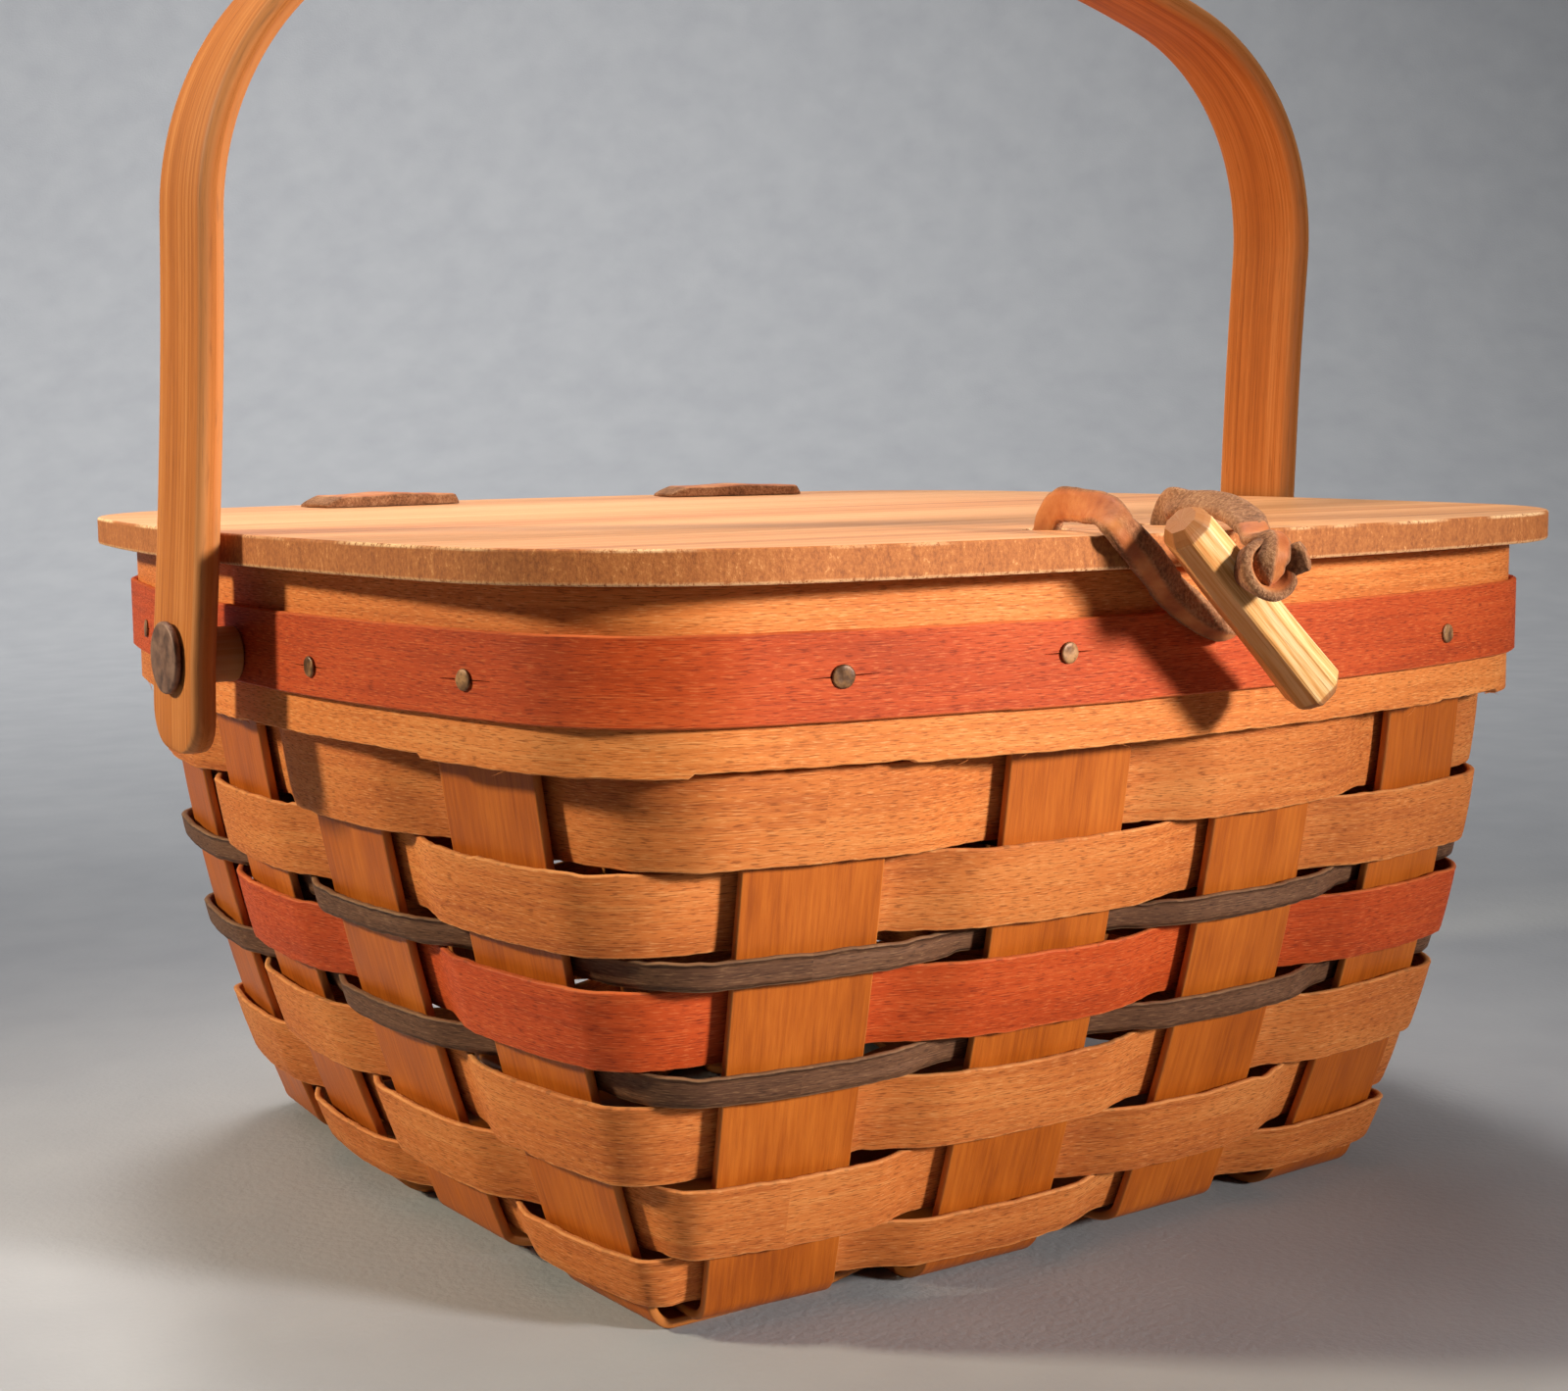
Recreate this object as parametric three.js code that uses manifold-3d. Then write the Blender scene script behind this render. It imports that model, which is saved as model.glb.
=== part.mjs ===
// A square covered berry basket: wood splints woven round sixteen uprights, nailed rim bands,
// a board lid on two leather hinges, a swinging bentwood handle and a leather and peg closure.
// Millimetres, +Z up. Origin: centre of the basket on the surface it stands on. The lid opens
// at the front, which is the -Y side, and the handle's pivots are on the -X and +X sides.
import * as THREE from 'three';
import { mergeVertices } from 'three/addons/utils/BufferGeometryUtils.js';
import Module from 'manifold-3d';

const wasm = await Module();
wasm.setup();

// Clearances
const FIT_GAP = 0.3;
const WEAVE_GAP = 0.6;
const BAND_GAP = 0.6;
const ROW_GAP = 0.4;
const CUT_OVERRUN = 2;

// Uprights: one strip makes two of them, and crosses the floor between them
const STAKE_WIDTH = 22.2;
const STAKE_THICKNESS = 1.5;
const STAKES_PER_SIDE = 4;
const STAKE_TOP = 112.4;
const PITCH_BASE = 38.4;
const PITCH_TOP = 40.1;
const PITCH_SWELL = 7.9;
const CROSSING_MARGIN = 1;
const BEND_TOP = 5.5;

// Wall: outer face of the uprights, at the middle of a side
const BASE_HALF = 77.5;
const TOP_HALF = 104.1;
const WALL_BULGE = 21;
const BASE_SIDE_RADIUS = 562;
const TOP_SIDE_RADIUS = 302;
const BASE_CORNER_RADIUS = 7;
const TOP_CORNER_RADIUS = 30;

// Woven rows, from the top row down: bottom edge, top edge and finish
const WEAVER_THICKNESS = 1.2;
const WEAVER_CREST = 0.7;
const FLAT_MARGIN = 1.5;
const ROW_EDGES = [87.6, 73.6, 61.1, 56.5, 44.1, 39, 26.1, 13.8, 5.2];
const ROW_FINISHES = ['natural', 'natural', 'dark', 'red', 'dark', 'natural', 'natural', 'natural'];

// Rim
const BAND_BOTTOM = 87.5;
const BAND_HEIGHT = 25.4;
const BAND_THICKNESS = 3;
const INNER_BAND_BOTTOM = 88.6;
const INNER_BAND_THICKNESS = 2.4;
const INNER_BAND_CORNER_SLACK = 0.5;
const TRIM_HEIGHT = 12.4;
const TRIM_THICKNESS = 1;

// Tacks in the trim strip. Each place is two shares: along its side from the middle, of half
// a side, and up from the strip's middle, of the strip's height.
const TACK_HEAD_RADIUS = 2.1;
const TACK_HEAD_HEIGHT = 0.9;
const TACK_SHANK_RADIUS = 0.8;
const TACK_PLACE_SHARES = {
  front: [[-0.69, 0], [-0.3, 0.11], [0.16, 0], [0.63, -0.09]],
  right: [[-0.66, 0.05], [-0.3, -0.1], [0.52, 0.04]],
  back: [[-0.62, -0.06], [-0.2, 0.08], [0.22, -0.04], [0.66, 0.1]],
  left: [[-0.59, -0.12], [0.31, -0.13], [0.74, -0.06]],
};

// Lid
const LID_OVERHANG = 5.3;
const LID_THICKNESS = 4.9;
const LID_SIDE_RADIUS = 400;
const LID_CORNER_RADIUS = 46;

// Handle: outer face; straight legs, a shoulder bend and a flatter crown
const LEG_CLEARANCE = 0.6;
const LEG_SPLAY = 2;
const HANDLE_WIDTH = 19.2;
const HANDLE_THICKNESS = 4.1;
const HANDLE_CHAMFER = 1.5;
const HANDLE_LEG = 68;
const HANDLE_TAIL = 14.7;
const TAIL_ROUNDING = 6;
const SHOULDER_RADIUS = 50;
const SHOULDER_TURN_DEG = 71;
const HANDLE_LEAN_DEG = 4.5;
const PIVOT_Y = -2;
const PIVOT_Z = 98.7;

// Handle rivets
const RIVET_RADIUS = 2.4;
const RIVET_HEAD_RADIUS = 5.7;
const RIVET_HEAD_HEIGHT = 1.5;
const BURR_RADIUS = 4.2;
const BURR_HEIGHT = 1.2;
const SPACER_RADIUS = 4.4;

// Leather hinges: a head on the lid, and a tongue through a slot down the inside of the rim
const HINGE_LEFT_REACH = 41.4;
const HINGE_RIGHT_REACH = 46.8;
const HINGE_HEAD_LENGTH = 32;
const HINGE_HEAD_DEPTH = 12;
const HINGE_HEAD_HEIGHT = 2.3;
const HINGE_HEAD_BEVEL = 4;
const TONGUE_WIDTH = 15;
const TONGUE_THICKNESS = 1.8;
const TONGUE_BOTTOM = 91;
const HINGE_TACK_RADIUS = 2;
const HINGE_TACK_HEIGHT = 0.8;
const HINGE_TACK_SPREAD = 4;
const HINGE_TACK_Z = 96;

// Closure: a flat leather lace through two holes in the lid, tied round a wooden peg
const LACE_WIDTH = 5;
const LACE_THICKNESS = 2;
const CLOSURE_X = -6.5;
const LACE_HOLE_SPACING = 23;
const LACE_HOLE_INSET = 21;
const LACE_HOLE_RADIUS = 3.6;
const PEG_CENTRE_X = -5.2;
const PEG_CENTRE_Z = 107.3;
const PEG_RADIUS = 4.1;
const PEG_LENGTH = 38;
const PEG_CHAMFER = 1.5;
const PEG_TILT_DEG = 43;
const PEG_STAND_OFF = 8;
const WRAP_THICKNESS = 2.2;
const WRAP_WIDTH = 5;
const KNOT_RADIUS = 4.3;
const KNOT_TURN_DEG = 67;
const KNOT_SLIDE = -4.2;

// The lace's route, in the object's frame: its centre line, and the way that its width faces
const LACE_ROUTE = [
  { at: [1.4, -111.6, 103.2], wide: [0.25, -0.3, 1] },
  { at: [-1.6, -111.6, 103.8], wide: [0.3, -0.4, 0.95] },
  { at: [-5, -111.7, 105], wide: [0.45, -0.5, 0.9] },
  { at: [-8.5, -111.8, 107.2], wide: [0.62, -0.55, 0.78] },
  { at: [-11.8, -112, 109.6], wide: [0.7, -0.5, 0.7] },
  { at: [-15.3, -113.5, 112], wide: [0.75, -0.4, 0.66] },
  { at: [-20, -114.6, 115.8], wide: [0.75, -0.2, 0.6] },
  { at: [-24, -114.4, 119.4], wide: [0.8, 0, 0.5] },
  { at: [-22.8, -110, 121.4], wide: [0.65, 0, 0.75] },
  { at: [-21, -104, 121.8], wide: [0.2, 0, 1] },
  { at: [-19.3, -98, 121.9], wide: [0, 0.2, 1] },
  { at: [-18.8, -94.8, 121.2], wide: [0, 0.6, 0.8] },
  { at: [-18.2, -92.5, 118.6], wide: [0, 1, 0.3] },
  { at: [-18, -92, 115.6], wide: [0, 1, 0] },
  { at: [-17.8, -92, 113], wide: [0, 1, 0] },
  { at: [-15.6, -92, 111.2], wide: [0, 1, 0] },
  { at: [-12, -92, 110.8], wide: [0, 1, 0] },
  { at: [-6.5, -92, 110.8], wide: [0, 1, 0] },
  { at: [-1, -92, 110.8], wide: [0, 1, 0] },
  { at: [2.6, -92, 111.2], wide: [0, 1, 0] },
  { at: [4.8, -92, 113], wide: [0, 1, 0] },
  { at: [5, -92, 115.6], wide: [0, 1, 0] },
  { at: [4.9, -92.5, 118.5], wide: [0.1, 1, 0.3] },
  { at: [3.8, -95, 121.2], wide: [0.35, 0.8, 0.5] },
  { at: [2.6, -98.6, 121.5], wide: [0.6, 0.6, 0.5] },
  { at: [2.5, -102.6, 121.7], wide: [0.75, 0.45, 0.5] },
  { at: [2, -107, 121.5], wide: [0.8, 0.3, 0.5] },
  { at: [1, -111.5, 120.7], wide: [0.85, 0.2, 0.45] },
  { at: [-0.6, -115.5, 119.4], wide: [0.9, 0.1, 0.35] },
  { at: [-1.9, -117.6, 118.7], wide: [0.9, 0, 0.3] },
  { at: [-3.2, -119.2, 118.3], wide: [0.9, 0, 0.3] },
];

// Shares and counts that set no size
const CROSSING_STEP_SHARES = [0.25, 0.5, 0.75];
const CORNER_STEP_SHARES = [0.17, 0.33, 0.5, 0.67, 0.83];
const OUTLINE_SIDE_STEPS = 8;
const OUTLINE_CORNER_STEPS = 7;
const WALL_STEPS = 8;
const BEND_STEPS = 4;
const SHOULDER_STEPS = 8;
const CROWN_STEPS = 12;
const LEG_STEPS = 3;
const LACE_STEPS = 54;
const ROUND_SIDES = 12;
const HOLE_SIDES = 8;
const MERGE_TOLERANCE = 1e-4;
const QUARTER_TURN = Math.PI / 2;

const X_AXIS = new THREE.Vector3(1, 0, 0);
const Y_AXIS = new THREE.Vector3(0, 1, 0);
const Z_AXIS = new THREE.Vector3(0, 0, 1);

const finishes = {
  natural: { color: 0xc98347, roughness: 0.62, metalness: 0 },
  stake: { color: 0xb8662a, roughness: 0.55, metalness: 0 },
  red: { color: 0xb5472a, roughness: 0.6, metalness: 0 },
  dark: { color: 0x5e4434, roughness: 0.7, metalness: 0 },
  rim: { color: 0xcb8a4e, roughness: 0.6, metalness: 0 },
  board: { color: 0xd49a62, roughness: 0.55, metalness: 0 },
  handle: { color: 0xb86f3c, roughness: 0.5, metalness: 0 },
  brass: { color: 0x7a5138, roughness: 0.45, metalness: 0.8 },
  leather: { color: 0x9a6040, roughness: 0.85, metalness: 0 },
  peg: { color: 0xe2b56b, roughness: 0.55, metalness: 0 },
};

const basket = new THREE.Group();

function addPiece(parent, name, geometry, finish) {
  const piece = new THREE.Mesh(geometry, new THREE.MeshStandardMaterial(finishes[finish]));
  piece.name = name;
  parent.add(piece);
  return piece;
}

// Solids

function signedVolume(positions, index) {
  const corner = (i) => new THREE.Vector3(...positions.slice(3 * i, 3 * i + 3));
  let volume = 0;
  for (let i = 0; i < index.length; i += 3) {
    const [a, b, c] = [corner(index[i]), corner(index[i + 1]), corner(index[i + 2])];
    volume += a.dot(b.cross(c));
  }
  return volume;
}

// A solid skin through rings of points, closed on itself or capped at both ends
function stripGeometry(rings, closed) {
  const count = rings[0].length;
  const positions = rings.flat().flatMap((point) => [point.x, point.y, point.z]);
  const index = [];
  const spans = closed ? rings.length : rings.length - 1;
  for (let ring = 0; ring < spans; ring += 1) {
    const here = ring * count;
    const next = ((ring + 1) % rings.length) * count;
    for (let side = 0; side < count; side += 1) {
      const turn = (side + 1) % count;
      index.push(here + side, next + side, next + turn);
      index.push(here + side, next + turn, here + turn);
    }
  }
  if (!closed) {
    const last = (rings.length - 1) * count;
    for (let side = 1; side < count - 1; side += 1) {
      index.push(0, side, side + 1);
      index.push(last, last + side + 1, last + side);
    }
  }
  if (signedVolume(positions, index) < 0) {
    index.reverse();
  }
  const geometry = new THREE.BufferGeometry();
  geometry.setAttribute('position', new THREE.Float32BufferAttribute(positions, 3));
  geometry.setIndex(index);
  return geometry;
}

function toSolid(source) {
  const geometry = source.clone();
  geometry.deleteAttribute('normal');
  geometry.deleteAttribute('uv');
  const merged = mergeVertices(geometry, MERGE_TOLERANCE);
  const mesh = new wasm.Mesh({
    numProp: 3,
    vertProperties: new Float32Array(merged.attributes.position.array),
    triVerts: new Uint32Array(merged.index.array),
  });
  return new wasm.Manifold(mesh);
}

function toGeometry(solid) {
  const mesh = solid.getMesh();
  const geometry = new THREE.BufferGeometry();
  geometry.setAttribute('position', new THREE.Float32BufferAttribute(mesh.vertProperties, 3));
  geometry.setIndex(new THREE.Uint32BufferAttribute(mesh.triVerts, 1));
  return geometry;
}

function cut(geometry, cutters) {
  let solid = toSolid(geometry);
  for (const cutter of cutters) {
    solid = solid.subtract(toSolid(cutter));
  }
  return toGeometry(solid);
}

function join(...geometries) {
  const [first, ...others] = geometries.map(toSolid);
  return toGeometry(others.reduce((sum, solid) => sum.add(solid), first));
}

// A cylinder on a line: its middle, its direction, its radius and its length
function rod(middle, direction, radius, length, sides = HOLE_SIDES) {
  const geometry = new THREE.CylinderGeometry(radius, radius, length, sides);
  geometry.applyQuaternion(new THREE.Quaternion().setFromUnitVectors(Y_AXIS, direction));
  geometry.translate(middle.x, middle.y, middle.z);
  return geometry;
}

// A turned piece whose profile is [radius, height] pairs
function turned(profile, sides = ROUND_SIDES) {
  return new THREE.LatheGeometry(profile.map(([r, h]) => new THREE.Vector2(r, h)), sides);
}

// Plan outline: four shallow side arcs and four corner arcs, tangent to each other

function outlineOf(half, sideRadius, cornerRadius) {
  const back = sideRadius - half;
  const reach = sideRadius - cornerRadius;
  const corner = (Math.sqrt(2 * reach * reach - back * back) - back) / 2;
  const turn = Math.atan2(corner, corner + back);
  const side = sideRadius * turn;
  const bend = cornerRadius * (QUARTER_TURN / 2 - turn);
  return { half, sideRadius, cornerRadius, back, corner, turn, side, reach: side + bend };
}

// Side 0 is the front, then right, back and left. Length runs along the outline from the
// side's middle, and offset goes outwards.
function sideAngle(side) {
  return (side - 1) * QUARTER_TURN;
}

function outlinePoint(outline, side, length, offset, z) {
  const far = Math.abs(length);
  const sign = Math.sign(length);
  const onSide = far <= outline.side;
  const past = (far - outline.side) / outline.cornerRadius;
  const angle = sign * (onSide ? far / outline.sideRadius : outline.turn + past);
  const radius = (onSide ? outline.sideRadius : outline.cornerRadius) + offset;
  const centre = onSide ? [-outline.back, 0] : [outline.corner, sign * outline.corner];
  const x = centre[0] + radius * Math.cos(angle);
  const y = centre[1] + radius * Math.sin(angle);
  return new THREE.Vector3(x, y, z).applyAxisAngle(Z_AXIS, sideAngle(side));
}

function outlineNormal(outline, side, length) {
  const inner = outlinePoint(outline, side, length, 0, 0);
  return outlinePoint(outline, side, length, outline.half, 0).sub(inner).normalize();
}

function outlineStations(outline) {
  const stations = [];
  for (let side = 0; side < 4; side += 1) {
    for (let i = 0; i < OUTLINE_SIDE_STEPS; i += 1) {
      const share = (2 * i) / OUTLINE_SIDE_STEPS - 1;
      stations.push({ side, length: share * outline.side });
    }
    for (let i = 0; i < OUTLINE_CORNER_STEPS; i += 1) {
      const along = ((2 * i) / OUTLINE_CORNER_STEPS) * (outline.reach - outline.side);
      const length = outline.side + along;
      const wraps = length > outline.reach;
      stations.push(wraps
        ? { side: (side + 1) % 4, length: length - 2 * outline.reach }
        : { side, length });
    }
  }
  return stations;
}

function bandGeometry(outline, inner, outer, bottom, top) {
  const rings = outlineStations(outline).map(({ side, length }) => [
    outlinePoint(outline, side, length, inner, bottom),
    outlinePoint(outline, side, length, outer, bottom),
    outlinePoint(outline, side, length, outer, top),
    outlinePoint(outline, side, length, inner, top),
  ]);
  return stripGeometry(rings, true);
}

// The wall

function mix(low, high, share) {
  return low + (high - low) * share;
}

function wallHalf(z) {
  const rise = z / STAKE_TOP;
  return mix(BASE_HALF, TOP_HALF, rise) + WALL_BULGE * rise * (1 - rise);
}

function wallOutline(z) {
  const rise = z / STAKE_TOP;
  const sideRadius = 1 / mix(1 / BASE_SIDE_RADIUS, 1 / TOP_SIDE_RADIUS, rise);
  return outlineOf(wallHalf(z), sideRadius, mix(BASE_CORNER_RADIUS, TOP_CORNER_RADIUS, rise));
}

function pitchAt(z) {
  const rise = z / STAKE_TOP;
  return mix(PITCH_BASE, PITCH_TOP, rise) + PITCH_SWELL * rise * (1 - rise);
}

const MIDDLE_STAKE = (STAKES_PER_SIDE - 1) / 2;

function stakePlace(i, z) {
  return (i - MIDDLE_STAKE) * pitchAt(z);
}

function stakeLength(outline, i, z) {
  return outline.sideRadius * Math.asin(stakePlace(i, z) / outline.sideRadius);
}

// Uprights and floor

const FLOOR_LOW = STAKE_THICKNESS / 2;
const FLOOR_HIGH = FLOOR_LOW + STAKE_THICKNESS + FIT_GAP;
const FLOOR_TOP = FLOOR_HIGH + STAKE_THICKNESS / 2;

function stakeRing({ centre, across, normal }) {
  const wide = across.clone().multiplyScalar(STAKE_WIDTH / 2);
  const thick = normal.clone().multiplyScalar(STAKE_THICKNESS / 2);
  return [
    centre.clone().sub(wide).sub(thick),
    centre.clone().add(wide).sub(thick),
    centre.clone().add(wide).add(thick),
    centre.clone().sub(wide).add(thick),
  ];
}

// One upright from its bend to its top, on the front side, for the stake at place i.
// The bend leaves the floor at start.
function uprightStations(i, start) {
  const stations = [];
  const wallStation = (z) => {
    const outline = wallOutline(z);
    const length = stakeLength(outline, i, z);
    const centre = outlinePoint(outline, 0, length, -STAKE_THICKNESS / 2, z);
    const outwards = outlineNormal(outline, 0, length);
    const across = new THREE.Vector3(-outwards.y, outwards.x, 0);
    return { centre, across };
  };
  const top = wallStation(BEND_TOP);
  const above = wallStation(BEND_TOP + STAKE_THICKNESS);
  const slope = (above.centre.y - top.centre.y) / STAKE_THICKNESS;
  const kneeY = top.centre.y - slope * (BEND_TOP - start.z);
  const knee = new THREE.Vector3(top.centre.x, kneeY, start.z);
  const bend = new THREE.QuadraticBezierCurve3(start, knee, top.centre);
  for (let step = 1; step < BEND_STEPS; step += 1) {
    const share = step / BEND_STEPS;
    const across = X_AXIS.clone().lerp(top.across, share).normalize();
    stations.push({ centre: bend.getPoint(share), across });
  }
  for (let step = 0; step <= WALL_STEPS; step += 1) {
    stations.push(wallStation(mix(BEND_TOP, STAKE_TOP, step / WALL_STEPS)));
  }
  return stations;
}

// The floor stretch from the middle outwards to the front, over and under the crossing strips
function floorStations(i, isOver) {
  const place = stakePlace(i, 0);
  const stations = [];
  for (let crossing = 1; crossing >= 0; crossing -= 1) {
    const level = isOver(crossing) ? FLOOR_HIGH : FLOOR_LOW;
    const middle = stakePlace(crossing, 0);
    const reach = STAKE_WIDTH / 2 + CROSSING_MARGIN;
    for (const y of [middle + reach, middle, middle - reach]) {
      stations.push({ centre: new THREE.Vector3(place, y, level), across: X_AXIS.clone() });
    }
  }
  return stations;
}

function withNormals(stations) {
  return stations.map((station, n) => {
    const before = stations[Math.max(n - 1, 0)].centre;
    const after = stations[Math.min(n + 1, stations.length - 1)].centre;
    const along = after.clone().sub(before).normalize();
    const normal = along.cross(station.across).normalize();
    return { ...station, normal };
  });
}

// Half of a strip, from the floor's middle to the top of the front wall
function halfStrip(i, isOver) {
  const floor = floorStations(i, isOver);
  return [...floor, ...uprightStations(i, floor[floor.length - 1].centre)];
}

function mirrorBack(station) {
  const centre = station.centre.clone();
  const across = station.across.clone();
  centre.y = -centre.y;
  across.y = -across.y;
  return { centre, across };
}

function addStake(name, i, turn, isOver) {
  const front = halfStrip(i, isOver);
  const back = halfStrip(i, (crossing) => isOver(STAKES_PER_SIDE - 1 - crossing));
  const path = [...back.map(mirrorBack).reverse(), ...front];
  const rings = withNormals(path).map(stakeRing);
  const geometry = stripGeometry(rings, false);
  geometry.rotateZ(turn);
  addPiece(basket, name, geometry, 'stake');
}

for (let i = 0; i < STAKES_PER_SIDE; i += 1) {
  addStake(`stake_across_${i + 1}`, i, 0, (crossing) => (i + crossing) % 2 === 0);
}
for (let i = 0; i < STAKES_PER_SIDE; i += 1) {
  // Turned a quarter, place i comes to lie i along the right-hand side, and its crossings
  // are counted the other way round
  const isOver = (crossing) => (i + STAKES_PER_SIDE - 1 - crossing) % 2 === 1;
  addStake(`stake_along_${i + 1}`, i, QUARTER_TURN, isOver);
}

// Weavers

const WEAVE_SWING = (STAKE_THICKNESS + WEAVER_THICKNESS) / 2 + WEAVE_GAP;
const FLAT_REACH = STAKE_WIDTH / 2 + FLAT_MARGIN;

// How far outwards the weaver's middle lies, between one upright (sign) and the next (-sign)
function swingAt(sign, along, distance) {
  const crossing = (along - FLAT_REACH) / (distance - 2 * FLAT_REACH);
  const turn = Math.cos(Math.PI * Math.min(Math.max(crossing, 0), 1));
  const crest = Math.cos((Math.PI * along) / distance);
  return sign * (WEAVE_SWING * turn + WEAVER_CREST * crest * Math.abs(crest));
}

function weaverSpans(z) {
  const outline = wallOutline(z);
  const spans = [];
  for (let side = 0; side < 4; side += 1) {
    for (let i = 0; i < STAKES_PER_SIDE; i += 1) {
      const from = stakeLength(outline, i, z);
      const isCorner = i === STAKES_PER_SIDE - 1;
      const to = isCorner ? 2 * outline.reach - from : stakeLength(outline, i + 1, z);
      spans.push({ side, from, distance: to - from, isCorner });
    }
  }
  return { outline, spans };
}

function weaverEdge(z, row) {
  const { outline, spans } = weaverSpans(z);
  const middle = -STAKE_THICKNESS / 2;
  const points = [];
  spans.forEach((span, upright) => {
    const sign = (upright + row) % 2 === 0 ? 1 : -1;
    const shares = span.isCorner ? CORNER_STEP_SHARES : CROSSING_STEP_SHARES;
    const free = span.distance - 2 * FLAT_REACH;
    const steps = [0, FLAT_REACH, ...shares.map((share) => FLAT_REACH + share * free)];
    steps.push(span.distance - FLAT_REACH);
    for (const along of steps) {
      const swing = swingAt(sign, along, span.distance);
      const length = span.from + along;
      const wraps = length > outline.reach;
      const side = wraps ? (span.side + 1) % 4 : span.side;
      const place = wraps ? length - 2 * outline.reach : length;
      const offsets = [swing - WEAVER_THICKNESS / 2, swing + WEAVER_THICKNESS / 2];
      points.push(offsets.map((offset) => outlinePoint(outline, side, place, middle + offset, z)));
    }
  });
  return points;
}

ROW_FINISHES.forEach((finish, row) => {
  const low = weaverEdge(ROW_EDGES[row + 1], row);
  const high = weaverEdge(ROW_EDGES[row] - ROW_GAP, row);
  const rings = low.map(([inner, outer], n) => [inner, outer, high[n][1], high[n][0]]);
  addPiece(basket, `weaver_row_${row + 1}`, stripGeometry(rings, true), finish);
});

// Rim bands, trim strip and tacks

// How far an arc of that radius falls back at that distance from its middle
function fallOf(radius, distance) {
  return radius - Math.sqrt(radius * radius - distance * distance);
}

// The half size of the smallest rim outline that goes round the uprights at one height
function rimHalfAt(z) {
  const reach = stakePlace(STAKES_PER_SIDE - 1, z) + STAKE_WIDTH / 2;
  const { half, sideRadius } = wallOutline(z);
  return half + fallOf(TOP_SIDE_RADIUS, reach) - fallOf(sideRadius, reach);
}

function widestRimHalf(low, high) {
  const halves = [];
  for (let step = 0; step <= WALL_STEPS; step += 1) {
    halves.push(rimHalfAt(mix(low, high, step / WALL_STEPS)));
  }
  return Math.max(...halves);
}

const BAND_TOP = BAND_BOTTOM + BAND_HEIGHT;
const RIM_HALF = widestRimHalf(BAND_BOTTOM, STAKE_TOP);
const rimOutline = outlineOf(RIM_HALF, TOP_SIDE_RADIUS, TOP_CORNER_RADIUS);
const BAND_MIDDLE = BAND_BOTTOM + BAND_HEIGHT / 2;
const BAND_OUTER = BAND_GAP + BAND_THICKNESS;
const TRIM_INNER = BAND_OUTER + FIT_GAP;
const TRIM_OUTER = TRIM_INNER + TRIM_THICKNESS;
const INNER_WALL_HALF = Math.min(wallHalf(INNER_BAND_BOTTOM), TOP_HALF);
const INNER_BAND_OUTER = INNER_WALL_HALF - RIM_HALF - STAKE_THICKNESS
  - FIT_GAP - INNER_BAND_CORNER_SLACK;
const INNER_BAND_INNER = INNER_BAND_OUTER - INNER_BAND_THICKNESS;
const RIM_DEPTH = TRIM_OUTER - INNER_BAND_INNER;

const tackPlaces = [];
Object.values(TACK_PLACE_SHARES).forEach((shares, side) => {
  shares.forEach(([along, rise]) => {
    const length = along * rimOutline.reach;
    const z = BAND_MIDDLE + rise * TRIM_HEIGHT;
    tackPlaces.push({
      seat: outlinePoint(rimOutline, side, length, TRIM_OUTER, z),
      outwards: outlineNormal(rimOutline, side, length),
    });
  });
});

const tackHoles = tackPlaces.map(({ seat, outwards }) => {
  const radius = TACK_SHANK_RADIUS + FIT_GAP;
  return rod(seat, outwards, radius, 2 * (TRIM_OUTER + CUT_OVERRUN));
});

// Each rivet runs along X through the leg, a spacer and the rim
const rivetSides = [{ name: 'left', sign: -1 }, { name: 'right', sign: 1 }];
const rivetHoles = rivetSides.map(({ sign }) => {
  const middle = new THREE.Vector3(sign * RIM_HALF, PIVOT_Y, PIVOT_Z);
  return rod(middle, X_AXIS, RIVET_RADIUS + FIT_GAP, 2 * (RIM_DEPTH + CUT_OVERRUN));
});

const outerBand = bandGeometry(rimOutline, BAND_GAP, BAND_OUTER, BAND_BOTTOM, BAND_TOP);
addPiece(basket, 'rim_band_outer', cut(outerBand, [...tackHoles, ...rivetHoles]), 'rim');

const innerBand = bandGeometry(
  rimOutline, INNER_BAND_INNER, INNER_BAND_OUTER, INNER_BAND_BOTTOM, BAND_TOP);
addPiece(basket, 'rim_band_inner', cut(innerBand, rivetHoles), 'rim');

const trimStrip = bandGeometry(rimOutline, TRIM_INNER, TRIM_OUTER,
  BAND_MIDDLE - TRIM_HEIGHT / 2, BAND_MIDDLE + TRIM_HEIGHT / 2);
addPiece(basket, 'rim_trim_strip', cut(trimStrip, [...tackHoles, ...rivetHoles]), 'red');

const TACK_SHANK_LENGTH = TRIM_OUTER - BAND_GAP;
tackPlaces.forEach(({ seat, outwards }, n) => {
  const geometry = turned([
    [0, -TACK_SHANK_LENGTH],
    [TACK_SHANK_RADIUS, -TACK_SHANK_LENGTH],
    [TACK_SHANK_RADIUS, FIT_GAP],
    [TACK_HEAD_RADIUS, FIT_GAP],
    [TACK_HEAD_RADIUS, FIT_GAP + TACK_HEAD_HEIGHT / 2],
    [0, FIT_GAP + TACK_HEAD_HEIGHT],
  ], HOLE_SIDES);
  const tack = addPiece(basket, `rim_tack_${n + 1}`, geometry, 'brass');
  tack.position.copy(seat);
  tack.quaternion.setFromUnitVectors(Y_AXIS, outwards);
});

// Lid

const LID_HALF = RIM_HALF + BAND_OUTER + LID_OVERHANG;
const LID_BOTTOM = BAND_TOP + FIT_GAP;
const LID_TOP = LID_BOTTOM + LID_THICKNESS;
const LACE_HOLE_Y = LACE_HOLE_INSET - LID_HALF;
const laceHoleXs = [CLOSURE_X - LACE_HOLE_SPACING / 2, CLOSURE_X + LACE_HOLE_SPACING / 2];

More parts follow.
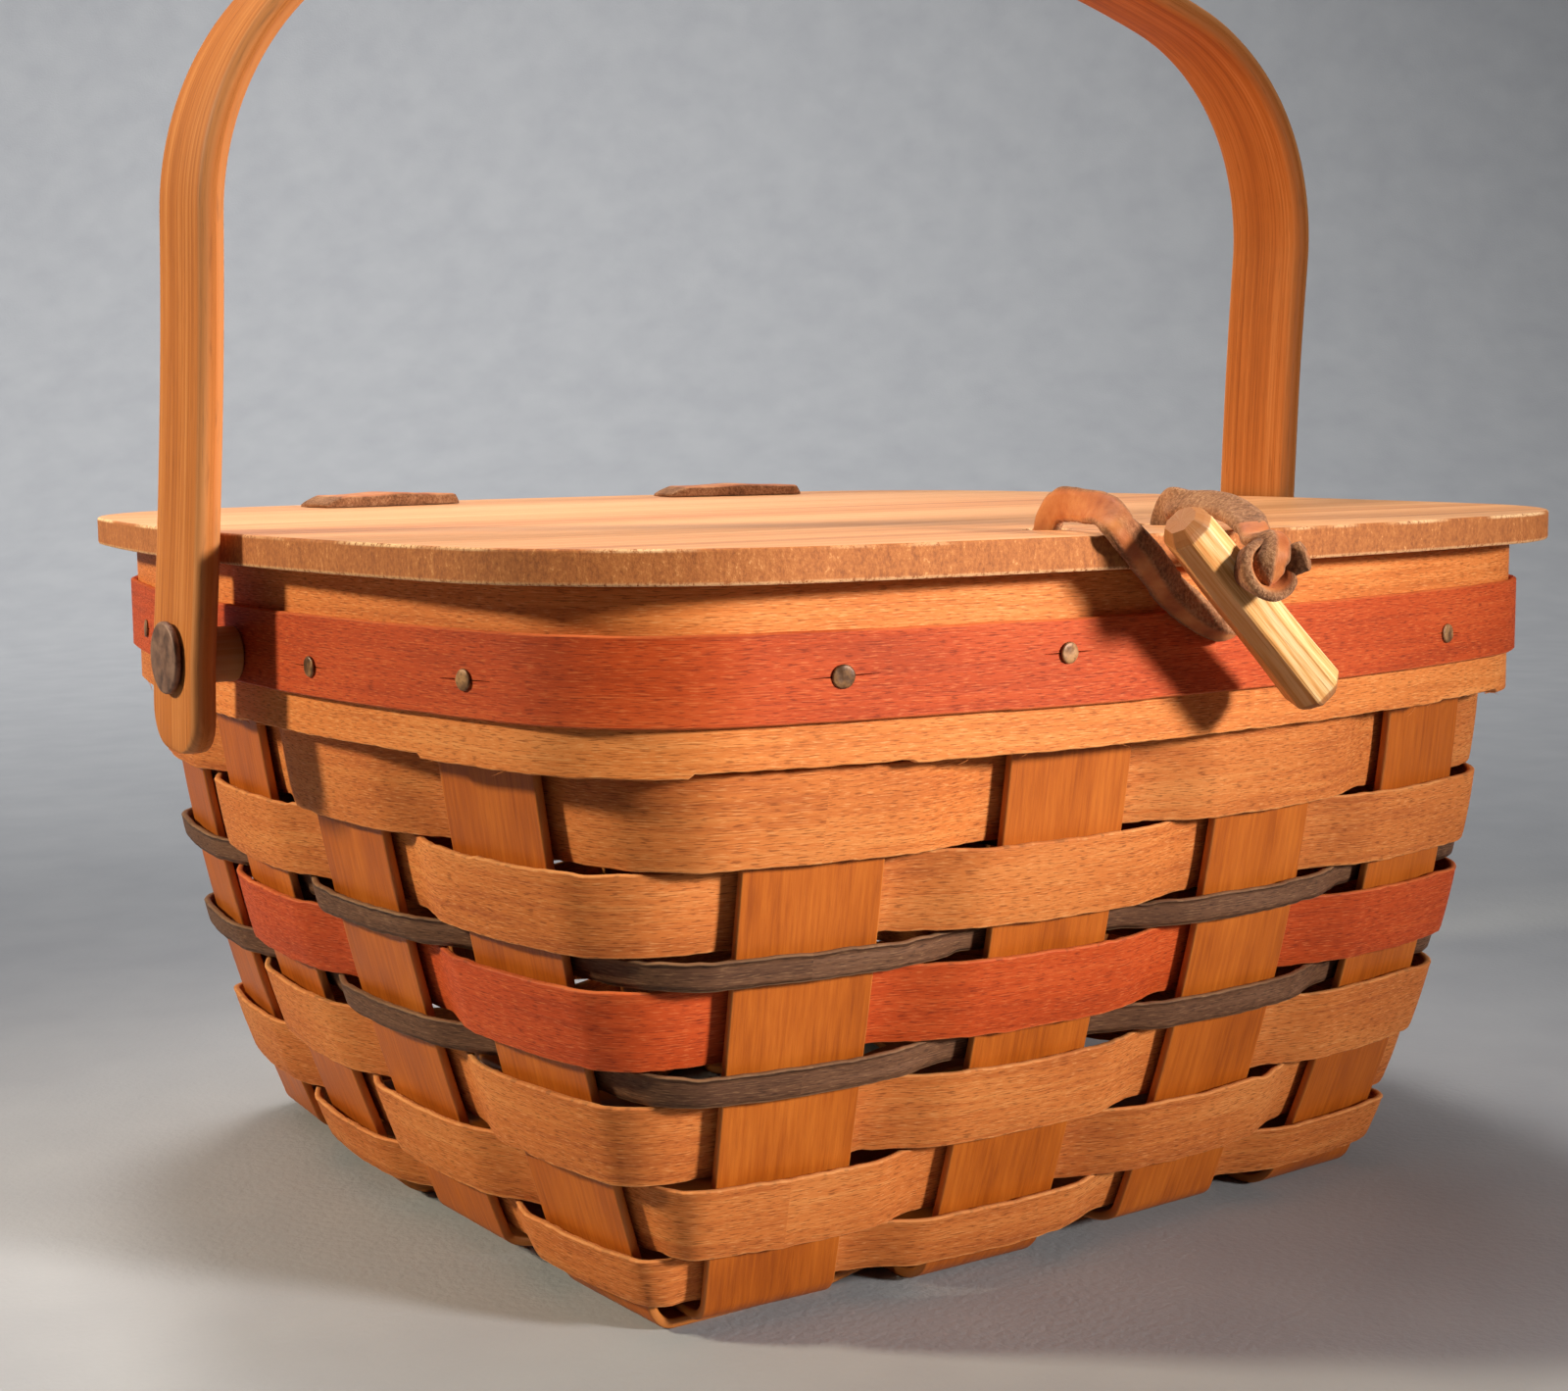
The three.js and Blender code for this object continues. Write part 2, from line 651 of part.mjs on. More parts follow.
// Each hinge stands against the inner band on the back side, square to the band's face. Its
// own frame has its tongue's middle on the Z axis, X along the rim and Y outwards.
const TONGUE_INSET = BAND_GAP + TONGUE_THICKNESS / 2;
const hingePlaces = [['left', HINGE_LEFT_REACH], ['right', -HINGE_RIGHT_REACH]].map(([name, along]) => {
  const seat = outlinePoint(rimOutline, 2, along, INNER_BAND_INNER - TONGUE_INSET, 0);
  const outwards = outlineNormal(rimOutline, 2, along);
  return { name, seat, turn: Math.atan2(outwards.y, outwards.x) - QUARTER_TURN };
});

function tongueBox(width, depth, bottom, top) {
  const geometry = new THREE.BoxGeometry(width, depth, top - bottom);
  geometry.translate(0, 0, (top + bottom) / 2);
  return geometry;
}

function lidGeometry() {
  const outline = outlineOf(LID_HALF, LID_SIDE_RADIUS, LID_CORNER_RADIUS);
  const points = outlineStations(outline).map(({ side, length }) => {
    const point = outlinePoint(outline, side, length, 0, 0);
    return new THREE.Vector2(point.x, point.y);
  });
  const settings = { depth: LID_THICKNESS, bevelEnabled: false };
  const board = new THREE.ExtrudeGeometry(new THREE.Shape(points), settings);
  board.translate(0, 0, LID_BOTTOM);
  const middle = LID_BOTTOM + LID_THICKNESS / 2;
  const deep = LID_THICKNESS + CUT_OVERRUN;
  const holes = laceHoleXs.map((x) => (
    rod(new THREE.Vector3(x, LACE_HOLE_Y, middle), Z_AXIS, LACE_HOLE_RADIUS, deep, ROUND_SIDES)));
  const slots = hingePlaces.map(({ seat, turn }) => {
    const width = TONGUE_WIDTH + 2 * FIT_GAP;
    const depth = TONGUE_THICKNESS + 2 * FIT_GAP;
    const slot = tongueBox(width, depth, LID_BOTTOM - CUT_OVERRUN, LID_TOP + CUT_OVERRUN);
    return slot.rotateZ(turn).translate(seat.x, seat.y, 0);
  });
  return cut(board, [...holes, ...slots]);
}

addPiece(basket, 'lid_board', lidGeometry(), 'board');

// Leather hinges

function hingeGeometry() {
  const reach = HINGE_HEAD_LENGTH / 2;
  const profile = new THREE.Shape([
    new THREE.Vector2(-reach, 0),
    new THREE.Vector2(reach, 0),
    new THREE.Vector2(reach - HINGE_HEAD_BEVEL, HINGE_HEAD_HEIGHT),
    new THREE.Vector2(HINGE_HEAD_BEVEL - reach, HINGE_HEAD_HEIGHT),
  ]);
  const head = new THREE.ExtrudeGeometry(profile, { depth: HINGE_HEAD_DEPTH, bevelEnabled: false });
  head.rotateX(QUARTER_TURN);
  head.translate(0, HINGE_HEAD_DEPTH / 2, LID_TOP + FIT_GAP);
  const tongueTop = LID_TOP + FIT_GAP + HINGE_HEAD_HEIGHT / 2;
  return join(head, tongueBox(TONGUE_WIDTH, TONGUE_THICKNESS, TONGUE_BOTTOM, tongueTop));
}

function hingeTackGeometry() {
  return turned([
    [0, FIT_GAP],
    [HINGE_TACK_RADIUS, FIT_GAP],
    [HINGE_TACK_RADIUS, FIT_GAP + HINGE_TACK_HEIGHT / 2],
    [0, FIT_GAP + HINGE_TACK_HEIGHT],
  ], HOLE_SIDES);
}

hingePlaces.forEach(({ name, seat, turn }) => {
  const hinge = new THREE.Group();
  hinge.position.copy(seat);
  hinge.rotation.z = turn;
  basket.add(hinge);
  addPiece(hinge, `hinge_strap_${name}`, hingeGeometry(), 'leather');
  [-HINGE_TACK_SPREAD, HINGE_TACK_SPREAD].forEach((shift, n) => {
    const tack = addPiece(hinge, `hinge_tack_${name}_${n + 1}`, hingeTackGeometry(), 'brass');
    tack.position.set(shift, -TONGUE_THICKNESS / 2, HINGE_TACK_Z);
    tack.rotation.x = Math.PI;
  });
});

// Handle, in its own group at the pivots

const LEG_INNER = LID_HALF + LEG_CLEARANCE;
const LEG_OUTER = LEG_INNER + HANDLE_THICKNESS;
const SHOULDER_TURN = THREE.MathUtils.degToRad(SHOULDER_TURN_DEG);
const CROWN_RADIUS = (LEG_OUTER - SHOULDER_RADIUS * (1 - Math.cos(SHOULDER_TURN)))
  / Math.cos(SHOULDER_TURN);

// The legs lean outwards down to the pivots, and stand straight below them
function legSplay(z) {
  const down = (HANDLE_LEG - Math.max(z, 0)) / HANDLE_LEG;
  return LEG_SPLAY * down * down;
}

// The outer face's line up one side: place, outward direction and width there
function handleSide() {
  const stations = [];
  const addLeg = (z, width) => {
    const point = new THREE.Vector2(LEG_OUTER + legSplay(z), z);
    stations.push({ point, out: new THREE.Vector2(1, 0), width });
  };
  const taper = TAIL_ROUNDING;
  addLeg(-HANDLE_TAIL, HANDLE_WIDTH - taper * Math.SQRT2);
  addLeg(taper / 4 - HANDLE_TAIL, HANDLE_WIDTH - taper / 2);
  addLeg(taper - HANDLE_TAIL, HANDLE_WIDTH);
  for (let step = 0; step < LEG_STEPS; step += 1) {
    addLeg((HANDLE_LEG * step) / LEG_STEPS, HANDLE_WIDTH);
  }
  const addArc = (radius, x, z, from, to, steps) => {
    for (let step = 0; step < steps; step += 1) {
      const angle = mix(from, to, step / steps);
      const out = new THREE.Vector2(Math.cos(angle), Math.sin(angle));
      const point = out.clone().multiplyScalar(radius).add(new THREE.Vector2(x, z));
      stations.push({ point, out, width: HANDLE_WIDTH });
    }
  };
  const shoulderX = LEG_OUTER - SHOULDER_RADIUS;
  const crownZ = HANDLE_LEG - (CROWN_RADIUS - SHOULDER_RADIUS) * Math.sin(SHOULDER_TURN);
  addArc(SHOULDER_RADIUS, shoulderX, HANDLE_LEG, 0, SHOULDER_TURN, SHOULDER_STEPS);
  addArc(CROWN_RADIUS, 0, crownZ, SHOULDER_TURN, QUARTER_TURN, CROWN_STEPS / 2);
  return { stations, apex: new THREE.Vector2(0, crownZ + CROWN_RADIUS) };
}

// A strap's section at one place, with its long edges taken off
function handleRing({ point, out, width }) {
  const half = width / 2;
  const flat = half - HANDLE_CHAMFER;
  const deep = HANDLE_THICKNESS - HANDLE_CHAMFER;
  const section = [
    [flat, 0], [half, -HANDLE_CHAMFER], [half, -deep], [flat, -HANDLE_THICKNESS],
    [-flat, -HANDLE_THICKNESS], [-half, -deep], [-half, -HANDLE_CHAMFER], [-flat, 0],
  ];
  return section.map(([y, inwards]) => (
    new THREE.Vector3(point.x + out.x * inwards, y, point.y + out.y * inwards)));
}

function handleGeometry() {
  const { stations, apex } = handleSide();
  const mirrored = stations.map(({ point, out, width }) => ({
    point: new THREE.Vector2(-point.x, point.y), out: new THREE.Vector2(-out.x, out.y), width,
  }));
  const top = { point: apex, out: new THREE.Vector2(0, 1), width: HANDLE_WIDTH };
  const path = [...mirrored, top, ...stations.reverse()];
  const strap = stripGeometry(path.map(handleRing), false);
  const holes = rivetSides.map(({ sign }) => {
    const middle = new THREE.Vector3(sign * (LEG_OUTER + LEG_SPLAY), 0, 0);
    const length = 2 * (HANDLE_THICKNESS + CUT_OVERRUN);
    return rod(middle, X_AXIS, RIVET_RADIUS + FIT_GAP, length, ROUND_SIDES);
  });
  return cut(strap, holes);
}

const handle = new THREE.Group();
handle.position.set(0, PIVOT_Y, PIVOT_Z);
handle.rotation.x = THREE.MathUtils.degToRad(HANDLE_LEAN_DEG);
basket.add(handle);
addPiece(handle, 'handle_hoop', handleGeometry(), 'handle');

// Handle rivets and spacers. Height 0 of each turned piece is on the trim strip's outer face.

const PIVOT_FACE = RIM_HALF + TRIM_OUTER;
const SPACER_LENGTH = LEG_OUTER + LEG_SPLAY - HANDLE_THICKNESS - PIVOT_FACE - 2 * FIT_GAP;
const RIVET_SEAT = SPACER_LENGTH + HANDLE_THICKNESS + 3 * FIT_GAP;
const RIVET_INNER = -RIM_DEPTH - FIT_GAP;

rivetSides.forEach(({ name, sign }) => {
  const outwards = X_AXIS.clone().multiplyScalar(sign);
  const place = (piece) => {
    piece.position.set(sign * PIVOT_FACE, PIVOT_Y, PIVOT_Z);
    piece.quaternion.setFromUnitVectors(Y_AXIS, outwards);
  };
  place(addPiece(basket, `handle_rivet_${name}`, turned([
    [0, RIVET_INNER - BURR_HEIGHT],
    [BURR_RADIUS, RIVET_INNER - BURR_HEIGHT],
    [BURR_RADIUS, RIVET_INNER],
    [RIVET_RADIUS, RIVET_INNER],
    [RIVET_RADIUS, RIVET_SEAT],
    [RIVET_HEAD_RADIUS, RIVET_SEAT],
    [RIVET_HEAD_RADIUS, RIVET_SEAT + RIVET_HEAD_HEIGHT / 2],
    [RIVET_HEAD_RADIUS - RIVET_HEAD_HEIGHT / 2, RIVET_SEAT + RIVET_HEAD_HEIGHT],
    [0, RIVET_SEAT + RIVET_HEAD_HEIGHT],
  ]), 'brass'));
  const bore = RIVET_RADIUS + FIT_GAP;
  place(addPiece(basket, `handle_spacer_${name}`, turned([
    [bore, FIT_GAP],
    [SPACER_RADIUS, FIT_GAP],
    [SPACER_RADIUS, FIT_GAP + SPACER_LENGTH],
    [bore, FIT_GAP + SPACER_LENGTH],
    [bore, FIT_GAP],
  ]), 'peg'));
});

// Closure: the lace, the peg and the knot tied round the peg

function laceGeometry() {
  const points = LACE_ROUTE.map(({ at }) => new THREE.Vector3(...at));
  const widths = LACE_ROUTE.map(({ wide }) => new THREE.Vector3(...wide));
  const line = new THREE.CatmullRomCurve3(points);
  const wideLine = new THREE.CatmullRomCurve3(widths);
  const rings = [];
  for (let step = 0; step <= LACE_STEPS; step += 1) {
    const share = step / LACE_STEPS;
    const centre = line.getPoint(share);
    const along = line.getTangent(share);
    const wide = wideLine.getPoint(share);
    wide.addScaledVector(along, -wide.dot(along)).normalize();
    const thick = along.clone().cross(wide).multiplyScalar(LACE_THICKNESS / 2);
    wide.multiplyScalar(LACE_WIDTH / 2);
    rings.push([
      centre.clone().sub(wide).sub(thick),
      centre.clone().add(wide).sub(thick),
      centre.clone().add(wide).add(thick),
      centre.clone().sub(wide).add(thick),
    ]);
  }
  return stripGeometry(rings, false);
}

addPiece(basket, 'closure_lace', laceGeometry(), 'leather');

// The peg's own frame has Y along the peg, and its group tips it down to the right
const peg = new THREE.Group();
const PEG_AXIS_Y = -(LID_HALF + PEG_STAND_OFF);
peg.position.set(PEG_CENTRE_X, PEG_AXIS_Y, PEG_CENTRE_Z);
peg.rotation.y = THREE.MathUtils.degToRad(PEG_TILT_DEG);
basket.add(peg);

const pegGeometry = turned([
  [0, -PEG_LENGTH / 2],
  [PEG_RADIUS - PEG_CHAMFER, -PEG_LENGTH / 2],
  [PEG_RADIUS, PEG_CHAMFER - PEG_LENGTH / 2],
  [PEG_RADIUS, PEG_LENGTH / 2 - PEG_CHAMFER],
  [PEG_RADIUS - PEG_CHAMFER, PEG_LENGTH / 2],
  [0, PEG_LENGTH / 2],
]);
pegGeometry.rotateZ(-QUARTER_TURN);
addPiece(peg, 'toggle_peg', pegGeometry, 'peg');

const wrapInner = PEG_RADIUS + FIT_GAP;
const wrapOuter = wrapInner + WRAP_THICKNESS;
const wrapGeometry = turned([
  [wrapInner, -WRAP_WIDTH / 2],
  [wrapOuter, -WRAP_WIDTH / 2],
  [wrapOuter, WRAP_WIDTH / 2],
  [wrapInner, WRAP_WIDTH / 2],
  [wrapInner, -WRAP_WIDTH / 2],
], 2 * ROUND_SIDES);
wrapGeometry.rotateZ(-QUARTER_TURN);
wrapGeometry.translate(KNOT_SLIDE, 0, 0);
const knotTurn = THREE.MathUtils.degToRad(KNOT_TURN_DEG);
const knotReach = wrapOuter + KNOT_RADIUS / 4;
const knot = new THREE.SphereGeometry(KNOT_RADIUS, ROUND_SIDES, HOLE_SIDES);
knot.translate(KNOT_SLIDE, -knotReach * Math.sin(knotTurn), knotReach * Math.cos(knotTurn));
const wrapBore = rod(new THREE.Vector3(), X_AXIS, wrapInner, PEG_LENGTH, 2 * ROUND_SIDES);
addPiece(peg, 'toggle_knot', cut(join(wrapGeometry, knot), [wrapBore]), 'leather');

export default basket;
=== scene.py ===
# A covered berry basket of woven hardwood splints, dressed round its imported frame.
# Sizes are in millimetres until a mesh is made, and the frame's own boxes are in metres.
# The front, where the lid opens, is -Y. The handle's pivots are at -X and +X.
import math

import bmesh
import bpy
import numpy as np
from mathutils import Matrix, Vector


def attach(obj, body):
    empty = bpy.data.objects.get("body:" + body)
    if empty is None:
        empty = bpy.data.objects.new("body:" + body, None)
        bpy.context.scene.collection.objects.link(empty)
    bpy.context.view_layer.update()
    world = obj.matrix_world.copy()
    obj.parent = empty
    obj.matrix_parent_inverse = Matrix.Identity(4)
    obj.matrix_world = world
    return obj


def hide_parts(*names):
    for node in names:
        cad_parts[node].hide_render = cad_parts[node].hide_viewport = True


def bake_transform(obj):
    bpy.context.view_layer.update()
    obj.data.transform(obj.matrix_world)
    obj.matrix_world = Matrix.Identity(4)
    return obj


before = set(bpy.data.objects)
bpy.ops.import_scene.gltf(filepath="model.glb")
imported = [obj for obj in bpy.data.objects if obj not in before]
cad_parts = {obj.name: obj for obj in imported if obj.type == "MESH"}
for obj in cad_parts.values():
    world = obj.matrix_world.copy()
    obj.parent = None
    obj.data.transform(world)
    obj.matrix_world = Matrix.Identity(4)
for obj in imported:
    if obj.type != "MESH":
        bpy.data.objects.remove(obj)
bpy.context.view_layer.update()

MM = 0.001
QUARTER = math.pi / 2
UP = Vector((0, 0, 1))

# Camera: fitted to the photograph's 1600 by 1419 pixels
IMAGE_WIDTH = 1600
IMAGE_HEIGHT = 1419
FOCAL_PIXELS = 2353
CENTRE_PIXEL = (791.67, 714.81)
CAMERA_PLACE = (-242.5, -351.8, 133.4)
CAMERA_TARGET = (-2.99, 2.03, 82.79)
CAMERA_ROLL = -0.0101
SENSOR_WIDTH = 36
CLIP_START = 0.02

# Lamps: degrees round from the front and up, the beam's width in degrees, the lamp's radius, its
# power in watts, its tint and the place that it is aimed at
LAMPS = {
    "front_lamp": (28, 16, 16, 90, 72, "#fffbf6", (-68, -100, 125)),
    "front_wash": (28, 16, 30, 90, 32, "#fffbf6", (-50, -100, 90)),
    "left_lamp": (-119, 27, 24, 70, 61, "#fff4d8", (-110, -10, 115)),
    "lid_lamp": (170, 68, 24, 160, 47, "#fffbf6", (-10, 0, 110)),
}
LAMP_DISTANCE = 1100
SKY_TINT = "#d3dbe6"
SKY_STRENGTH = 0.065

# A soft panel lights the paper behind the basket. Both are turned to face the camera.
PAPER_TURN = -math.atan2(CAMERA_TARGET[0] - CAMERA_PLACE[0], CAMERA_TARGET[1] - CAMERA_PLACE[1])
PANEL_PLACE = (-400, 800, 1500)
PANEL_AIM = (-360, 1350, 0)
PANEL_SIZE = 1500
PANEL_SPREAD = math.radians(120)
PANEL_WATTS = 17

# Studio floor: flat under the basket, then up in a curve behind it
FLOOR_FRONT = -2600
FLOOR_BEND = 900
FLOOR_BEND_RADIUS = 700
FLOOR_TOP = 2600
FLOOR_WIDTH = 8400

# Uprights
STAKE_WIDTH = 22.2
STAKE_THICKNESS = 1.5
STAKES_PER_SIDE = 4
STAKE_TOP = 112.4
PITCH_BASE = 38.4
PITCH_TOP = 40.1
PITCH_SWELL = 7.9
CROSSING_MARGIN = 1
BEND_TOP = 5.5
FLOOR_GAP = 0.3

# Wall: outer face of the uprights, at the middle of a side
BASE_HALF = 77.5
TOP_HALF = 104.1
WALL_BULGE = 21
BASE_SIDE_RADIUS = 562
TOP_SIDE_RADIUS = 302
BASE_CORNER_RADIUS = 7
TOP_CORNER_RADIUS = 30

# Woven rows, from the top row down
WEAVER_THICKNESS = 1.2
WEAVER_CREST = 0.7
WEAVE_GAP = 0.6
FLAT_MARGIN = 1.5
ROW_EDGES = [87.6, 73.6, 61.1, 56.5, 44.1, 39, 26.1, 13.8, 5.2]
ROW_GAP = 0.35
ROW_STAINS = ["natural", "natural", "brown", "red", "brown", "natural", "natural", "natural"]

# Rim
BAND_BOTTOM = 87.5
BAND_TOP = 112.9
BAND_GAP = 0.6
BAND_THICKNESS = 3
INNER_BAND_BOTTOM = 88.6
INNER_BAND_INNER = -6.82
INNER_BAND_THICKNESS = 2.4
TRIM_BOTTOM = 94
TRIM_TOP = 106.4
TRIM_INNER = 3.9
TRIM_THICKNESS = 1

# Lid
LID_HALF = 113
LID_SIDE_RADIUS = 400
LID_CORNER_RADIUS = 46
LID_BOTTOM = 113.2
LID_TOP = 118.1
LID_EDGE_EASE = 0.45
LACE_HOLE_RADIUS = 3.6
LACE_HOLE_XS = (-18, 5)
LACE_HOLE_Y = -92
FRINGE = 0.6

# Hinge straps
HINGE_REACHES = (41.4, -46.8)
HINGE_TONGUE_WIDTH = 15
HINGE_TONGUE_THICKNESS = 1.8
HINGE_TONGUE_BOTTOM = 91
HINGE_SLOT_GAP = 0.3
HINGE_HEAD_LENGTH = 32
HINGE_HEAD_DEPTH = 12
HINGE_HEAD_HEIGHT = 2.3
HINGE_HEAD_BEVEL = 4
HINGE_HEAD_REST = 0.12
HINGE_HEAD_STEPS = 61

# Handle
HANDLE_WIDTH = 19.2
HANDLE_THICKNESS = 4.1
HANDLE_CORNER = 1.7
HANDLE_LEG = 68
HANDLE_TAIL = 14.7
TAIL_ROUND = 6
SHOULDER_RADIUS = 50
SHOULDER_TURN = math.radians(71)
HANDLE_LEAN = math.radians(4.5)
LEG_OUTER = 117.7
LEG_SPLAY = 2
PIVOT = (0, -2, 98.7)
PIVOT_HOLE = {"radius": 2.7, "length": 16}

# Rivets and spacers: (radius, distance from the basket's middle) round each one
RIVET_PROFILE = [(0, 95.8), (4.2, 95.8), (4.2, 97.0), (2.4, 97.0), (2.4, 120.0), (5.7, 120.0),
                 (5.7, 121.1), (0, 121.1)]
SPACER_PROFILE = [(2.7, 109.3), (4.4, 109.3), (4.4, 115.3), (2.7, 115.3)]

# Tacks: shares along each side and up the trim strip, and the splits that they opened
TACK_ALONG = [[-0.69, -0.3, 0.16, 0.63], [-0.66, -0.3, 0.52], [-0.62, -0.2, 0.22, 0.66],
              [-0.59, 0.31, 0.74]]
TACK_RISE = [[0, 0.11, 0, -0.09], [0.05, -0.1, 0.04], [-0.06, 0.08, -0.04, 0.1],
             [-0.12, -0.13, -0.06]]
TACK_HEAD_RADIUS = 1.75
TACK_PROFILE = [(0, -4.3), (0.3, -3.7), (0.8, -3.2), (0.8, 0.05), (TACK_HEAD_RADIUS - 0.15, 0.02),
                (TACK_HEAD_RADIUS, 0.14), (TACK_HEAD_RADIUS - 0.05, 0.34),
                (TACK_HEAD_RADIUS - 0.28, 0.45), (TACK_HEAD_RADIUS * 0.5, 0.43), (0, 0.45)]
HINGE_TACK_Z = 96
HINGE_TACK_SPREAD = 4
SPLIT_LENGTHS = (8, 12)
SPLIT_HALF_HEIGHT = 0.1
SPLIT_DEPTH = 0.9
SPLIT_SHARP_ANGLE = math.radians(35)

# Torn fibres
FIBRE_LENGTH = 5
FIBRE_RADIUS = 0.09
FIBRES = 70

# Peg, with its own directions: along it, out from its front, and up across it
PEG_CENTRE = (-5.2, -121, 107.3)
PEG_TILT = math.radians(43)
PEG_RADIUS = 4.1
PEG_LENGTH = 38
PEG_FACETS = 8
PEG_AXES = np.array([[math.cos(PEG_TILT), 0, -math.sin(PEG_TILT)], [0, -1, 0],
                     [math.sin(PEG_TILT), 0, math.cos(PEG_TILT)]])

# Knot, with its own directions: to the right, up, and out towards the front left
KNOT_CENTRE = (-8.8, -127, 113.1)
KNOT_RIGHT = np.array([0.828, -0.56, 0.0])
KNOT_RISE = np.array([0.066, 0.097, 0.993])
KNOT_OUT = -np.cross(KNOT_RISE, KNOT_RIGHT)
KNOT_AXES = np.array([KNOT_RIGHT, KNOT_RISE, KNOT_OUT])
LOOP_RADIUS = 3.5
BIGHT_SPOTS = [(0.4, 6.7, -10.0), (0.25, 6.0, -8.4), (0.2, 5.0, -6.8), (0.5, 4.8, -4.6),
               (1.2, 4.9, -2.2), (1.3, 4.1, 0.3), (0.9, 2.6, 2.0), (0.4, 0.9, 2.4),
               (0.2, -0.9, 1.5), (0.2, -1.9, 0.2)]
BIGHT_FOLDS = [0, 0, 0, 0.2, 0.6, 0.9, 0.9, 0.9, 0.9, 0.9]
TAIL_SPOTS = [(1.4, 0.2, -1.6), (2.8, 0.9, -0.6), (4.1, 1.5, 0.4), (5.6, 2.0, 1.3)]

# Lace: its route as the frame has it, each point and the way that its width faces there, then
# how deep it is creased at each point
LACE_WIDTH = 5
LACE_THICKNESS = 2
LACE_ROUTE = np.array([
    (1.4, -111.6, 103.2, 0.25, -0.3, 1), (-1.6, -111.6, 103.8, 0.3, -0.4, 0.95),
    (-5, -111.7, 105, 0.45, -0.5, 0.9), (-8.5, -111.8, 107.2, 0.62, -0.55, 0.78),
    (-11.8, -112, 109.6, 0.7, -0.5, 0.7), (-15.3, -113.5, 112, 0.75, -0.4, 0.66),
    (-20, -114.6, 115.8, 0.75, -0.2, 0.6), (-24, -114.4, 119.4, 0.8, 0, 0.5),
    (-22.8, -110, 121.4, 0.65, 0, 0.75), (-21, -104, 121.8, 0.2, 0, 1),
    (-19.3, -98, 121.9, 0, 0.2, 1), (-18.8, -94.8, 121.2, 0, 0.6, 0.8),
    (-18.2, -92.5, 118.6, 0, 1, 0.3), (-18, -92, 115.6, 0, 1, 0), (-17.8, -92, 113, 0, 1, 0),
    (-15.6, -92, 111.2, 0, 1, 0), (-12, -92, 110.8, 0, 1, 0), (-6.5, -92, 110.8, 0, 1, 0),
    (-1, -92, 110.8, 0, 1, 0), (2.6, -92, 111.2, 0, 1, 0), (4.8, -92, 113, 0, 1, 0),
    (5, -92, 115.6, 0, 1, 0), (4.9, -92.5, 118.5, 0.1, 1, 0.3), (3.8, -95, 121.2, 0.35, 0.8, 0.5),
    (2.6, -98.6, 121.5, 0.6, 0.6, 0.5), (2.5, -102.6, 121.7, 0.75, 0.45, 0.5),
    (2, -107, 121.5, 0.8, 0.3, 0.5), (1, -111.5, 120.7, 0.85, 0.2, 0.45),
    (-0.6, -115.5, 119.4, 0.9, 0.1, 0.35), (-1.9, -117.6, 118.7, 0.9, 0, 0.3),
    (-3.2, -119.2, 118.3, 0.9, 0, 0.3),
])
LACE_FOLDS = [0.7, 0.9, 1.2, 1.4, 1.4, 1.2, 0.8, 0.3] + [0] * (len(LACE_ROUTE) - 8)


# Materials

def colour(hex_text):
    """sRGB hex to linear RGBA."""
    parts = [int(hex_text[i:i + 2], 16) / 255 for i in (1, 3, 5)]
    linear = [p / 12.92 if p <= 0.04045 else ((p + 0.055) / 1.055) ** 2.4 for p in parts]
    return (*linear, 1)


def add_node(tree, kind, links=None, **settings):
    """One node with its settings; links maps an input to a socket or to a plain value."""
    node = tree.nodes.new(kind)
    for name, value in settings.items():
        setattr(node, name, value)
    for name, source in (links or {}).items():
        if isinstance(source, bpy.types.NodeSocket):
            tree.links.new(source, node.inputs[name])
        else:
            node.inputs[name].default_value = source
    return node


def weighed(tree, signals, weights):
    """A sum of signals, each by its weight."""
    total = 0.0
    for name, weight in weights.items():
        total = add_node(tree, "ShaderNodeMath", {0: signals[name], 1: weight, 2: total},
                         operation="MULTIPLY_ADD").outputs[0]
    return total


def masked(tree, signals, limits):
    """The product of signals, each as (name, from low, from high, to low, to high)."""
    total = 1.0
    ends = ("From Min", "From Max", "To Min", "To Max")
    for name, *values in limits:
        part = add_node(tree, "ShaderNodeMapRange", {"Value": signals[name], **dict(zip(ends, values))})
        total = add_node(tree, "ShaderNodeMath", {0: part.outputs["Result"], 1: total},
                         operation="MULTIPLY").outputs[0]
    return total


